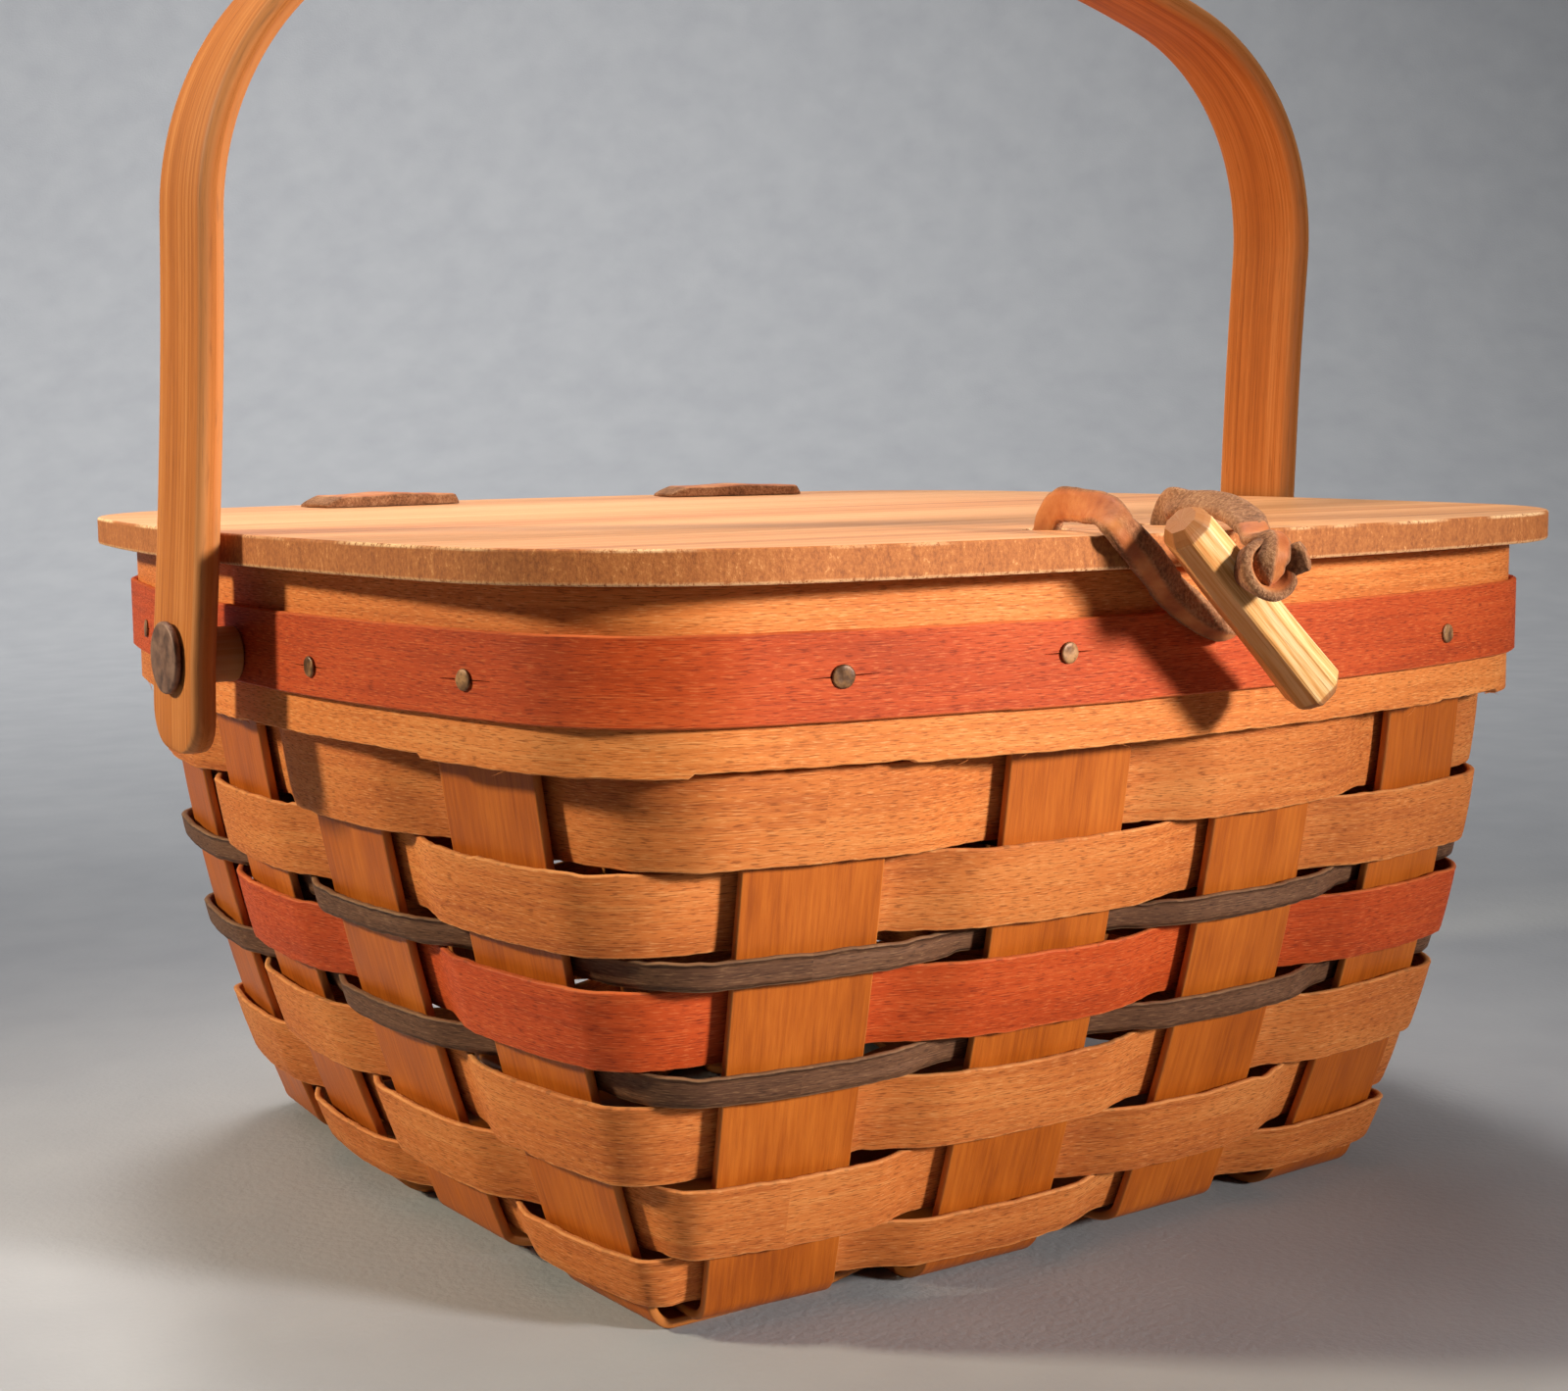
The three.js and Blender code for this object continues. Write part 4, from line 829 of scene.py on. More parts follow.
def split_strip(piece):
    """Cuts the short dark splits that the tacks opened along the strip's grain."""
    rng = np.random.default_rng(17)
    work = bmesh.new()
    for (x, y, z), (out_x, out_y, _) in rim_tack_seats():
        made = bmesh.ops.create_uvsphere(work, u_segments=16, v_segments=8, radius=1)["verts"]
        size = (rng.uniform(*SPLIT_LENGTHS) / 2, SPLIT_DEPTH, SPLIT_HALF_HEIGHT)
        turn = Matrix(((-out_y, out_x, 0), (out_x, out_y, 0), (0, 0, 1))).to_4x4().transposed()
        lean = Matrix.Rotation(rng.uniform(-0.05, 0.05), 4, "Y")
        shift = Vector((x - out_y * rng.uniform(-1, 1), y + out_x * rng.uniform(-1, 1), z))
        place = Matrix.Scale(MM, 4) @ Matrix.Translation(shift) @ turn @ lean
        bmesh.ops.transform(work, matrix=place @ Matrix.Diagonal((*size, 1)), verts=made)
    bmesh.ops.recalc_face_normals(work, faces=work.faces)
    cut_out(piece, work)
    piece.data.set_sharp_from_angle(angle=SPLIT_SHARP_ANGLE)


for name, stain, inner, thickness, bottom, top, seed, ragged, slot, node in (
        ("outer_rim_band", "rim", BAND_GAP, BAND_THICKNESS, BAND_BOTTOM, BAND_TOP, 3, 0.6,
         "rim_splint", "rim_band_outer"),
        ("inner_rim_band", "rim", INNER_BAND_INNER, INNER_BAND_THICKNESS, INNER_BAND_BOTTOM,
         BAND_TOP, 5, 0.3, "rim_splint", "rim_band_inner"),
        ("red_trim_strip", "red", TRIM_INNER, TRIM_THICKNESS, TRIM_BOTTOM, TRIM_TOP, 7, 0.12,
         "red_splint", "rim_trim_strip")):
    ring = rim_ring(name, stain, inner, thickness, bottom, top, seed, ragged)
    if name == "red_trim_strip":
        split_strip(ring)
    stand_for(ring, "basket", slot, node)


# Lid

def hinge_place(along):
    inset = BAND_GAP + HINGE_TONGUE_THICKNESS / 2
    place, out = RIM.at([4 * RIM.reach + along], INNER_BAND_INNER - inset)
    return place[0], math.atan2(out[0][1], out[0][0]) - QUARTER


HINGES = [hinge_place(reach) for reach in HINGE_REACHES]
LID_OUTLINE_STEPS = 900
LACE_HOLE_STEPS = 32
WELD_DISTANCE = 0.002
FACE_DEPTH = 0.02


def lid_board():
    """The board: a flat shape with two lace holes and two hinge slots, its edges eased."""
    outline = Outline(LID_HALF, LID_SIDE_RADIUS, LID_CORNER_RADIUS)
    curve = bpy.data.curves.new("lid_outline", "CURVE")
    curve.dimensions = "2D"
    curve.fill_mode = "BOTH"
    curve.extrude = ((LID_TOP - LID_BOTTOM) / 2 - LID_EDGE_EASE) * MM
    curve.bevel_depth = LID_EDGE_EASE * MM
    curve.bevel_resolution = 2
    curve.offset = -LID_EDGE_EASE * MM
    steps = np.arange(LID_OUTLINE_STEPS) / LID_OUTLINE_STEPS
    loops = [outline.at(steps * 8 * outline.reach)[0]]
    angles = np.linspace(0, 2 * math.pi, LACE_HOLE_STEPS, endpoint=False)
    for x in LACE_HOLE_XS:
        loops.append(np.stack([x + LACE_HOLE_RADIUS * np.cos(angles),
                               LACE_HOLE_Y + LACE_HOLE_RADIUS * np.sin(angles)], -1))
    a, b = HINGE_TONGUE_WIDTH / 2 + HINGE_SLOT_GAP, HINGE_TONGUE_THICKNESS / 2 + HINGE_SLOT_GAP
    corners = np.array([(-a, -b, 0), (a, -b, 0), (a, b, 0), (-a, b, 0)])
    loops += [place_round(corners, seat, turn)[:, :2] for seat, turn in HINGES]
    for points in loops:
        spline = curve.splines.new("POLY")
        spline.points.add(len(points) - 1)
        for point, (x, y) in zip(spline.points, points):
            point.co = (x * MM, y * MM, 0, 1)
        spline.use_cyclic_u = True
    holder = add_object("lid_outline", curve)
    mesh = evaluated_mesh(holder)
    bpy.data.objects.remove(holder)
    mesh.name = "lid_board"
    mesh.transform(Matrix.Translation((0, 0, (LID_BOTTOM + LID_TOP) / 2 * MM)))
    work = bmesh.new()
    work.from_mesh(mesh)
    bmesh.ops.remove_doubles(work, verts=work.verts, dist=WELD_DISTANCE * MM)
    bmesh.ops.recalc_face_normals(work, faces=work.faces)
    work.to_mesh(mesh)
    work.free()
    z = np.array([vertex.co.z for vertex in mesh.vertices]) / MM
    add_edge(mesh, np.where((z > LID_TOP - FACE_DEPTH) | (z < LID_BOTTOM + FACE_DEPTH), 0.0, 1.0))
    mesh.materials.clear()
    stand_for(add_piece("lid_board_wood", mesh, BOARD, False), "lid", "lid_wood", "lid_board")


lid_board()


# Handle

def handle_stations():
    """The strap's outer face from pivot to pivot: x, z, its outward direction and its width."""
    crown = (LEG_OUTER - SHOULDER_RADIUS * (1 - math.cos(SHOULDER_TURN))) / math.cos(SHOULDER_TURN)
    crown_z = HANDLE_LEG - (crown - SHOULDER_RADIUS) * math.sin(SHOULDER_TURN)
    stations = []
    for z in np.concatenate([-HANDLE_TAIL + TAIL_ROUND * (1 - np.cos(np.linspace(0, QUARTER, 9))),
                             np.linspace(TAIL_ROUND - HANDLE_TAIL, HANDLE_LEG, 36)[1:-1]]):
        up = (z + HANDLE_TAIL) / TAIL_ROUND
        inset = TAIL_ROUND * (1 - math.sqrt(max(0, 1 - (1 - up) ** 2))) if up < 1 else 0
        down = (HANDLE_LEG - max(z, 0)) / HANDLE_LEG
        stations.append((LEG_OUTER + LEG_SPLAY * down * down, z, 1, 0, HANDLE_WIDTH - 2 * inset))
    for angles, radius, x, z in (
            (np.linspace(0, SHOULDER_TURN, 34)[:-1], SHOULDER_RADIUS, LEG_OUTER - SHOULDER_RADIUS,
             HANDLE_LEG),
            (np.linspace(SHOULDER_TURN, QUARTER, 40), crown, 0, crown_z)):
        stations += [(x + radius * math.cos(t), z + radius * math.sin(t), math.cos(t), math.sin(t),
                      HANDLE_WIDTH) for t in angles]
    mirrored = [(-x, z, -ox, oz, w) for x, z, ox, oz, w in stations[:-1]]
    return np.array(mirrored + stations[::-1])


def handle():
    """The bentwood strap, its edges rounded, standing at its pivots with a slight lean."""
    rng = np.random.default_rng(11)
    x, z, out_x, out_z, width = handle_stations().T
    steps = 5
    section = []
    for side, inner in ((1, False), (1, True), (-1, True), (-1, False)):
        for k in range(steps):
            t = QUARTER * k / (steps - 1)
            y, d = (math.sin(t), math.cos(t)) if (side > 0) != inner else (math.cos(t), math.sin(t))
            deep = HANDLE_CORNER * (1 - d)
            section.append((side, HANDLE_CORNER * (y - 1), HANDLE_THICKNESS - deep if inner else deep,
                            0.8 if 0 < k < steps - 1 else 0))
    wobble = {side: 0.15 * wander(rng, len(x), 12, 1, False) for side in (1, -1)}
    length = run_length(np.column_stack([x, z]))
    cos, sin = math.cos(HANDLE_LEAN), math.sin(HANDLE_LEAN)

    def spot(side, inset, deep, worn):
        across = side * (width / 2 + inset + wobble[side])
        high = z - out_z * deep
        place = np.column_stack([x - out_x * deep, across * cos - high * sin,
                                 across * sin + high * cos]) + PIVOT
        return place, length, across + (0 if deep < HANDLE_THICKNESS / 2 else 45), worn

    piece = skin("bentwood_handle", len(x), section, False, BENTWOOD, spot)
    for sign in (-1, 1):
        work = bmesh.new()
        bmesh.ops.create_cone(work, cap_ends=True, segments=32, radius1=PIVOT_HOLE["radius"] * MM,
                              radius2=PIVOT_HOLE["radius"] * MM, depth=PIVOT_HOLE["length"] * MM)
        middle = Vector((sign * (LEG_OUTER + LEG_SPLAY), *PIVOT[1:])) * MM
        turn = UP.rotation_difference(Vector((1, 0, 0))).to_matrix().to_4x4()
        work.transform(Matrix.Translation(middle) @ turn)
        cut_out(piece, work)
    piece.data.polygons.foreach_set("use_smooth", [True] * len(piece.data.polygons))
    stand_for(piece, "handle", "handle_wood", "handle_hoop")


handle()


# Small turned and cut pieces

def turned_mesh(name, profile, segments, material, middle, direction, wear=0):
    """A profile of (radius, along) turned round a line through middle. A profile whose ends
    have a radius is closed on itself."""
    turn = UP.rotation_difference(Vector(direction).normalized()).to_matrix()
    angles = np.linspace(0, 2 * math.pi, segments, endpoint=False)
    mesh = bpy.data.meshes.new(name)
    work = bmesh.new()
    loops = []
    for radius, along in profile:
        spots = [(0, 0, along)] if radius == 0 else [
            (radius * math.cos(a), radius * math.sin(a), along) for a in angles]
        loops.append([work.verts.new((turn @ Vector(spot) + Vector(middle)) * MM) for spot in spots])
    for low, high in list(zip(loops, loops[1:])) + ([(loops[-1], loops[0])] if profile[0][0] > 0 else []):
        for k in range(segments):
            after = (k + 1) % segments
            corners = [low[k % len(low)], low[after % len(low)], high[after % len(high)],
                       high[k % len(high)]]
            work.faces.new(list(dict.fromkeys(corners)))
    work.to_mesh(mesh)
    work.free()
    add_edge(mesh, [wear] * len(mesh.vertices))
    uv = mesh.uv_layers.new(name="grain")
    for loop in mesh.loops:
        spot = turn.inverted() @ (mesh.vertices[loop.vertex_index].co / MM - Vector(middle))
        uv.data[loop.index].uv = (spot.z * MM, (math.atan2(spot.y, spot.x) * 5 + spot.xy.length) * MM)
    face_out(mesh)
    return add_piece(name, mesh, material)


def round_over(profile, roundings):
    """Rounds corners of a profile, each (which corner, radius, steps), from the last one back."""
    for at, radius, steps in roundings:
        before, corner, after = (np.array(profile[i], float) for i in (at - 1, at, at + 1))
        start, end = (corner + (p - corner) / np.linalg.norm(p - corner) * radius for p in (before, after))
        arc = [tuple((1 - t) ** 2 * start + 2 * t * (1 - t) * corner + t * t * end)
               for t in np.linspace(0, 1, steps + 1)]
        profile = profile[:at] + arc + profile[at + 1:]
    return profile


for sign, hand in ((-1, "left"), (1, "right")):
    profile = round_over(RIVET_PROFILE, [(6, 0.5, 4), (5, 0.3, 2), (2, 0.35, 2), (1, 0.35, 2)])
    rivet = turned_mesh(f"{hand}_handle_rivet", profile, 56, RIVET_METAL, (0, *PIVOT[1:]), (sign, 0, 0))
    stand_for(rivet, "basket", "aged_rivet", f"handle_rivet_{hand}")
    profile = round_over(SPACER_PROFILE, [(2, 0.5, 4), (1, 0.5, 4)])
    # The spacers' edge share of 0.9 lays the peg wood's brown end tone over all of them: painted shade, for
    # the handle leg's shadow that they sit in.
    spacer = turned_mesh(f"{hand}_handle_spacer", profile, 40, PEG_WOOD, (0, *PIVOT[1:]),
                         (sign, 0, 0), 0.9)
    stand_for(spacer, "basket", "peg_wood", f"handle_spacer_{hand}")


def scatter(name, seats, item, material, tilt, size_spread, seed):
    """One mesh of an item set on every seat, a (place in mm, facing) pair, each with its own
    small tilt, turn and size."""
    tree = bpy.data.node_groups.new(name, "GeometryNodeTree")
    for way in ("INPUT", "OUTPUT"):
        tree.interface.new_socket("Geometry", in_out=way, socket_type="NodeSocketGeometry")
    inputs = {}
    for label, kind, value in (("Tilt", "Float", tilt), ("Size spread", "Float", size_spread),
                               ("Seed", "Int", seed)):
        socket = tree.interface.new_socket(label, in_out="INPUT", socket_type=f"NodeSocket{kind}")
        inputs[socket.identifier] = value
    given = add_node(tree, "NodeGroupInput").outputs
    facing = add_node(tree, "GeometryNodeInputNamedAttribute", {"Name": "facing"},
                      data_type="FLOAT_VECTOR")
    upright = add_node(tree, "FunctionNodeAlignRotationToVector",
                       {"Vector": facing.outputs["Attribute"]}, axis="Z")
    lean = add_node(tree, "ShaderNodeCombineXYZ", {"X": given["Tilt"], "Y": given["Tilt"], "Z": math.pi})
    low = add_node(tree, "ShaderNodeVectorMath", {0: lean.outputs[0], "Scale": -1.0}, operation="SCALE")
    spin = add_node(tree, "FunctionNodeRandomValue", {0: low.outputs[0], 1: lean.outputs[0],
                                                      "Seed": given["Seed"]}, data_type="FLOAT_VECTOR")
    own = add_node(tree, "FunctionNodeEulerToRotation", {0: spin.outputs[0]})
    turned = add_node(tree, "FunctionNodeRotateRotation", {0: upright.outputs[0], 1: own.outputs[0]},
                      rotation_space="LOCAL")
    small = add_node(tree, "ShaderNodeMath", {0: 1.0, 1: given["Size spread"]}, operation="SUBTRACT")
    size = add_node(tree, "FunctionNodeRandomValue", {2: small.outputs[0], 3: 1.0,
                                                      "Seed": given["Seed"]}, data_type="FLOAT")
    source = add_node(tree, "GeometryNodeObjectInfo", {"Object": item})
    placed = add_node(tree, "GeometryNodeInstanceOnPoints", {
        "Points": given["Geometry"], "Instance": source.outputs["Geometry"],
        "Rotation": turned.outputs[0], "Scale": size.outputs[1]})
    real = add_node(tree, "GeometryNodeRealizeInstances", {0: placed.outputs[0]})
    dressed = add_node(tree, "GeometryNodeSetMaterial", {0: real.outputs[0], "Material": material})
    add_node(tree, "NodeGroupOutput", {0: dressed.outputs[0]})
    points = bpy.data.meshes.new(name)
    points.from_pydata([tuple(c * MM for c in place) for place, _ in seats], [], [])
    layer = points.attributes.new("facing", "FLOAT_VECTOR", "POINT")
    layer.data.foreach_set("vector", [c for _, out in seats for c in out])
    piece = add_object(name, points)
    modifier = piece.modifiers.new("scatter", "NODES")
    modifier.node_group = tree
    for identifier, value in inputs.items():
        modifier[identifier] = value
    apply_modifiers(piece)
    bpy.data.objects.remove(item)
    return piece


def tacks():
    """The rim's tacks, then the two in each hinge strap's tongue."""
    seats = rim_tack_seats()
    for spot, turn in HINGES:
        inward = np.array([math.sin(turn), -math.cos(turn)])
        for shift in (-HINGE_TACK_SPREAD, HINGE_TACK_SPREAD):
            place = (spot + np.array([math.cos(turn), math.sin(turn)]) * shift
                     + inward * HINGE_TONGUE_THICKNESS / 2)
            seats.append(((*place, HINGE_TACK_Z), (*inward, 0)))
    item = turned_mesh("one_tack", TACK_PROFILE, 24, TACK_METAL, (0, 0, 0), (0, 0, 1))
    for vertex in item.data.vertices:
        dent = 0.06 * math.sin(vertex.co.x / MM * 2.3 + 1) * math.sin(vertex.co.y / MM * 2.9)
        if vertex.co.z > 0.25 * MM:
            vertex.co.z += dent * MM
    piece = scatter("brass_tacks", seats, item, TACK_METAL, 0.09, 0.12, 4)
    names = [f"rim_tack_{n + 1}" for n in range(14)]
    names += [f"hinge_tack_{hand}_{n}" for hand in ("left", "right") for n in (1, 2)]
    stand_for(piece, "basket", "aged_tack", *names)


tacks()


def fibres():
    """Hair-thin fibres that stand off the outer band's lower edge, where the splint tore."""
    rng = np.random.default_rng(91)
    profile = [(0, -0.6), (FIBRE_RADIUS, 0), (FIBRE_RADIUS * 0.8, FIBRE_LENGTH * 0.4),
               (FIBRE_RADIUS * 0.5, FIBRE_LENGTH * 0.75), (0, FIBRE_LENGTH)]
    item = turned_mesh("one_fibre", profile, 6, STAINS["rim"], (0, 0, 0), (0, 0, 1))
    for vertex in item.data.vertices:
        vertex.co.x += 0.9 * MM * math.sin(vertex.co.z / MM * 0.5) ** 2
    seats = []
    for _ in range(FIBRES):
        distance = rng.uniform(0, 8 * RIM.reach)
        (spot,), (out,) = RIM.at([distance], BAND_GAP + BAND_THICKNESS * rng.uniform(0.5, 0.95))
        way = rng.choice([-1, 1])
        facing = (-out[1] * way + out[0] * 0.12, out[0] * way + out[1] * 0.12, rng.uniform(-0.35, 0.02))
        seats.append(((*spot, BAND_BOTTOM + rng.uniform(-0.1, 0.5)), facing))
    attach(scatter("torn_fibres", seats, item, STAINS["rim"], 0.16, 0.75, 9), "basket")


fibres()


# Leather

def smooth_line(points, count):
    """A smooth line through points (Catmull-Rom), as count even steps of its parameter."""
    points = np.asarray(points, float)
    padded = np.concatenate([[2 * points[0] - points[1]], points, [2 * points[-1] - points[-2]]])
    places = np.linspace(0, len(points) - 1, count)
    low = np.minimum(places.astype(int), len(points) - 2)
    t = (places - low)[:, None]
    a, b, c, d = (padded[low + k] for k in range(4))
    return 0.5 * (2 * b + (c - a) * t + (2 * a - 5 * b + 4 * c - d) * t * t
                  + (3 * b - a - 3 * c + d) * t ** 3)


def strap_section():
    """A strap's section: across as a share of half the width, through as a share of half the
    thickness, and whether it is flesh side or edge."""
    section = []
    for side in (1, -1):
        for a in np.linspace(-1, 1, 9) * side:
            cut = abs(a) == 1
            section.append((a * (0.95 if cut else 1), side * ((0.65 if cut else 1) - 0.12 * a * a),
                            0.0 if side > 0 and abs(a) < 0.8 else 1.0))
        section.append((side, side * 0.25, 1.0))
    return section


def strap_mesh(name, points, wides, width, thickness, seed, count, taper=(0, 0), folds=None):
    """A leather strap along a line. wides say which way its width faces. Its smooth side has an
    edge value of 0 and its flesh side and edges have 1. taper is how far each end narrows. folds
    say how deep, in mm, it is creased along its middle, which scuffs one half of its smooth side."""
    rng = np.random.default_rng(seed)
    line = smooth_line(points, count)
    along = unit(np.gradient(line, axis=0))
    wide = smooth_line(wides, count)
    wide = unit(wide - along * np.sum(wide * along, axis=1)[:, None])
    thick = np.cross(wide, along)
    folds = np.zeros(len(points)) if folds is None else np.asarray(folds, float)
    fold = np.clip(smooth_line(folds[:, None], count)[:, 0], 0, None)
    length = run_length(line)
    step = length[-1] / count
    edges = {sign: 0.14 * wander(rng, count, 4, step, False) + 0.07 * wander(rng, count, 1, step, False)
             for sign in (-1, 1)}
    puff = 0.08 * wander(rng, count, 3, step, False)
    shrink = np.ones(count)
    for end, amount in zip((length, length[-1] - length), taper):
        if amount:
            shrink *= np.clip(0.35 + 0.65 * np.sqrt(np.clip(end / amount, 0, 1)), 0, 1)

    def spot(a, t, flesh):
        w = shrink * (a * width / 2 + np.sign(a) * edges[1 if a > 0 else -1] * abs(a))
        d = t * (thickness / 2 + puff) * (0.6 + 0.4 * shrink) - fold * abs(a)
        scuff = np.clip(fold / 0.6, 0, 1) if a > -0.15 else 0
        return (line + wide * w[:, None] + thick * d[:, None], length,
                a * width / 2 + (20 if t < 0 else 0), np.maximum(flesh, scuff))

    return skin(name, count, strap_section(), False, LEATHER, spot)


def peg():
    """A whittled peg: uneven flats along it and cut chamfers at its ends."""
    rng = np.random.default_rng(51)
    ends = [(-0.5, 0.0, 1.0), (-0.5, 0.66, 1.0), (-0.472, 0.88, 1.0), (-0.452, 0.985, 0.9),
            (-0.445, 1.0, 0.1)]
    stations = ends + [(x, 1.0, 0.0) for x in np.linspace(-0.42, 0.42, 22)]
    stations += [(-x, radius, wear) for x, radius, wear in reversed(ends)]
    x, radius, wear = np.array(stations).T
    corners = np.sort(np.linspace(0, 2 * math.pi, PEG_FACETS, endpoint=False)
                      + rng.uniform(-0.13, 0.13, PEG_FACETS))
    spots = np.stack([np.cos(corners), np.sin(corners)], -1)
    flats = [mix(here, there, t) for here, there in zip(spots, np.roll(spots, -1, 0))
             for t in (0.06, 0.3, 0.5, 0.7, 0.94)]
    shape = [flat * (0.9 + 0.1 * np.linalg.norm(flat)) for flat in flats]
    swell = mix(0.94, 1.07, x + 0.5) - 0.02 * np.sin(x * 9)
    reach = PEG_RADIUS * np.maximum(radius, 0.001) * swell

    def spot(a, b):
        place = np.column_stack([x * PEG_LENGTH, a * reach, b * reach]) @ PEG_AXES + PEG_CENTRE
        return place, x * PEG_LENGTH, math.atan2(b, a) * PEG_RADIUS, wear

    piece = skin("whittled_peg", len(x), shape, False, PEG_WOOD, spot)
    piece.data.shade_flat()
    return stand_for(piece, "toggle", "peg_wood", "toggle_peg")


def knot():
    """The lace's knot on the peg: a proud loop in front, a bight that comes down into it, and
    the cut end beside it."""
    axis = np.array([0.45, 0.22, 0.86]) @ KNOT_AXES
    axis /= np.linalg.norm(axis)
    first = KNOT_RISE - axis * (KNOT_RISE @ axis)
    first /= np.linalg.norm(first)
    second = np.cross(axis, first)
    points, wides = [], []
    for t in np.linspace(0, 1, 24):
        angle = math.radians(-25 + 300 * t)
        lower = 0.5 - 0.5 * math.cos(angle)
        spoke = first * math.cos(angle) + second * math.sin(angle)
        points.append(KNOT_CENTRE + np.array([-0.3, -0.2, 0]) @ KNOT_AXES
                      + spoke * (LOOP_RADIUS - 0.8 * lower) + axis * (1.6 * t - 1.0))
        wides.append(axis + spoke * mix(0.15, 0.7, lower))
    bight, tail = (KNOT_CENTRE + np.array(spots) @ KNOT_AXES for spots in (BIGHT_SPOTS, TAIL_SPOTS))
    pieces = [
        strap_mesh("knot_loop", points, wides, 5.0, 1.8, 62, 200, (2, 1.5)),
        strap_mesh("knot_bight", bight, [np.array([-1, -0.1, 0]) @ KNOT_AXES] * len(bight), 4.6, 2.0,
                   63, 170, (0, 2), BIGHT_FOLDS),
        strap_mesh("knot_end", tail, [np.array([-0.3, 0.9, 0.2]) @ KNOT_AXES] * len(tail), 4.3, 1.9,
                   64, 70, (1, 0.4))]
    for piece in pieces:
        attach(piece, "toggle")
    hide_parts("toggle_knot")
    return pieces


def closure():
    knotted = [peg(), *knot()]
    points, wides = LACE_ROUTE[:, :3], LACE_ROUTE[:, 3:]
    lace = strap_mesh("closure_lace_strap", points, wides, LACE_WIDTH, LACE_THICKNESS, 60, 420,
                      (2.5, 3), LACE_FOLDS)
    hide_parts("closure_lace")
    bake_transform(lace)


closure()


# Hinge straps

def join_pieces(name, pieces):
    """One mesh of closed skins that stand in each other."""
    work = bmesh.new()
    for piece in pieces:
        work.from_mesh(piece.data)
        bpy.data.objects.remove(piece)
    mesh = bpy.data.meshes.new(name)
    work.to_mesh(mesh)
    work.free()
    return add_piece(name, mesh, LEATHER)


def hinge_strap(hand, seat, turn, seed):
    """A leather tab on the lid, thick and a little humped, and its tongue down through the lid."""
    rng = np.random.default_rng(seed)
    reach, deep = HINGE_HEAD_LENGTH / 2, HINGE_HEAD_DEPTH / 2
    rounding = [(-1, 0.0), (-1, 0.3), (-0.995, 0.6), (-0.98, 0.82), (-0.94, 0.95), (-0.86, 1.0)]
    section = rounding + [(a, 1.0) for a in (-0.5, -0.2, 0.1, 0.4)]
    section += [(-a, h) for a, h in reversed(rounding)] + [(0.5, 0.0), (0, 0.0), (-0.5, 0.0)]
    edge = wander(rng, HINGE_HEAD_STEPS, 6, 0.6, False) * 0.18
    hump = wander(rng, HINGE_HEAD_STEPS, 14, 0.6, False) * 0.16
    along = np.linspace(-reach, reach, HINGE_HEAD_STEPS)
    slope = np.minimum(1, (reach - np.abs(along)) / (HINGE_HEAD_BEVEL * np.where(along < 0, 1, 0.3)))
    high = (HINGE_HEAD_HEIGHT * (0.25 + 0.75 * slope ** 0.8) + hump * slope
            + 0.35 * np.exp(-((along - 2) / 6) ** 2))

    def spot(a, h):
        half = deep - (1 - slope) * 0.8 + edge
        place = np.column_stack([along, a * half, LID_TOP + HINGE_HEAD_REST + h * high])
        return (place_round(place, seat, turn), along, a * deep + 30 * (h == 0),
                np.where((h < 0.9) | (slope < 0.9), 1.0, 0.0))

    head = skin(f"{hand}_hinge_head", len(along), section, False, LEATHER, spot)
    points = [(*seat, z) for z in np.linspace(HINGE_TONGUE_BOTTOM, LID_TOP + 1.2, 12)]
    wide = (math.cos(turn), math.sin(turn), 0)
    tongue = strap_mesh(f"{hand}_hinge_tongue", points, [wide] * len(points), HINGE_TONGUE_WIDTH - 0.4,
                        HINGE_TONGUE_THICKNESS - 0.1, seed + 5, 90)
    strap = join_pieces(f"{hand}_hinge_strap", [head, tongue])
    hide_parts(f"hinge_strap_{hand}")
    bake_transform(strap)


for hand, (seat, turn), seed in zip(("left", "right"), HINGES, (71, 81)):
    hinge_strap(hand, seat, turn, seed)


# Floor, lamps and camera

def studio_floor():
    """One sheet of pale paper: flat, then curved up behind the basket, with a faint mottle."""
    line = [(FLOOR_FRONT, 0), (FLOOR_BEND * 0.5, 0)]
    line += [(FLOOR_BEND + FLOOR_BEND_RADIUS * math.sin(t), FLOOR_BEND_RADIUS * (1 - math.cos(t)))
             for t in np.linspace(0, QUARTER, 25)]
    line.append((FLOOR_BEND + FLOOR_BEND_RADIUS, FLOOR_TOP))
    mesh = bpy.data.meshes.new("studio_floor")
    points = [(x * MM, y * MM, z * MM) for y, z in line for x in (-FLOOR_WIDTH / 2, FLOOR_WIDTH / 2)]
    faces = [(2 * n, 2 * n + 1, 2 * n + 3, 2 * n + 2) for n in range(len(line) - 1)]
    mesh.from_pydata(points, [], faces)
    mesh.transform(Matrix.Rotation(PAPER_TURN, 4, "Z"))
    paper = finish("pale_paper", {"mottle": ("place", (30, 30, 30), 2, 0.55),
                                  "tooth": ("place", (1.5, 1.5, 1.5), 2, 0.55)},
                   {"main": ({"mottle": 1}, [(0.3, "#a0a1a4"), (0.7, "#a7a8aa")])}, [], 0.9,
                   {"tooth": 1}, 0.15)
    return add_piece("studio_floor", mesh, paper)


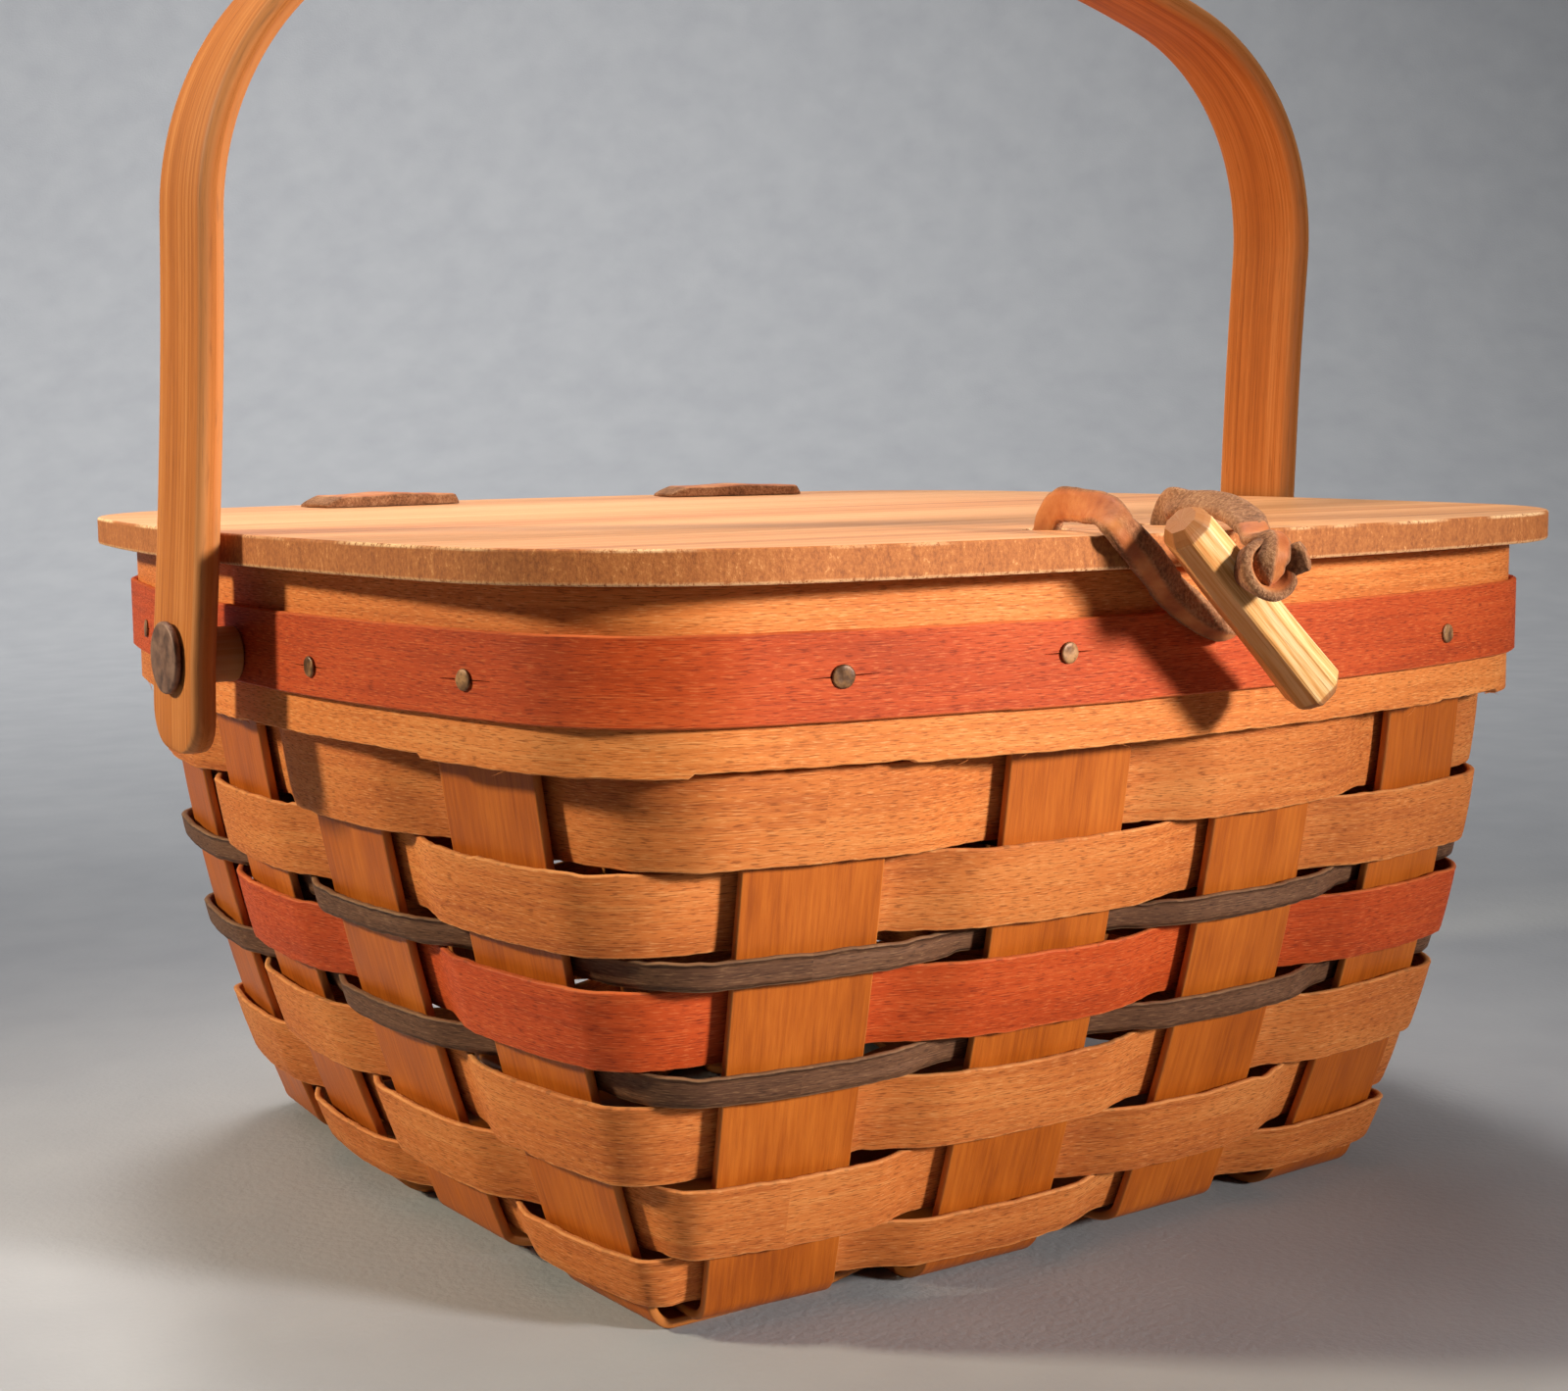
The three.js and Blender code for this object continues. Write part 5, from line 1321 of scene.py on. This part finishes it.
def add_light(name, kind, place, away, watts, **settings):
    """A light at a place, shining against the direction away."""
    light = bpy.data.lights.new(name, kind)
    light.energy = watts
    for setting, value in settings.items():
        setattr(light, setting, value)
    holder = add_object(name, light)
    holder.location = place * MM
    holder.rotation_euler = away.to_track_quat("Z", "Y").to_euler()


def studio():
    studio_floor()
    world = bpy.data.worlds.new("soft_room")
    world.use_nodes = True
    sky = world.node_tree.nodes["Background"].inputs
    sky["Color"].default_value = colour(SKY_TINT)
    sky["Strength"].default_value = SKY_STRENGTH
    bpy.context.scene.world = world
    for name, (turn, rise, beam, radius, watts, tone, aim) in LAMPS.items():
        turn, rise = math.radians(turn), math.radians(rise)
        away = Vector((math.sin(turn) * math.cos(rise), -math.cos(turn) * math.cos(rise), math.sin(rise)))
        add_light(name, "SPOT", away * LAMP_DISTANCE + Vector(aim), away, watts,
                  spot_size=math.radians(beam), spot_blend=1.0, shadow_soft_size=radius * MM,
                  color=colour(tone)[:3])
    turn = Matrix.Rotation(PAPER_TURN, 3, "Z")
    add_light("paper_panel", "AREA", turn @ Vector(PANEL_PLACE),
              turn @ (Vector(PANEL_PLACE) - Vector(PANEL_AIM)), PANEL_WATTS, size=PANEL_SIZE * MM,
              spread=PANEL_SPREAD)


def camera():
    data = bpy.data.cameras.new("photo_camera")
    data.sensor_width = SENSOR_WIDTH
    data.sensor_fit = "HORIZONTAL"
    data.lens = FOCAL_PIXELS / IMAGE_WIDTH * SENSOR_WIDTH
    data.shift_x = (IMAGE_WIDTH / 2 - CENTRE_PIXEL[0]) / IMAGE_WIDTH
    data.shift_y = (CENTRE_PIXEL[1] - IMAGE_HEIGHT / 2) / IMAGE_WIDTH
    data.clip_start = CLIP_START
    place, target = Vector(CAMERA_PLACE) * MM, Vector(CAMERA_TARGET) * MM
    forward = (target - place).normalized()
    right = forward.cross(UP).normalized()
    up = right.cross(forward)
    cos, sin = math.cos(CAMERA_ROLL), math.sin(CAMERA_ROLL)
    right, up = right * cos + up * sin, up * cos - right * sin
    holder = add_object("photo_camera", data)
    holder.matrix_world = (Matrix.Translation(place)
                           @ Matrix((right, up, -forward)).transposed().to_4x4())
    bpy.context.scene.camera = holder
    bpy.context.scene.view_settings.view_transform = "Standard"


studio()
camera()
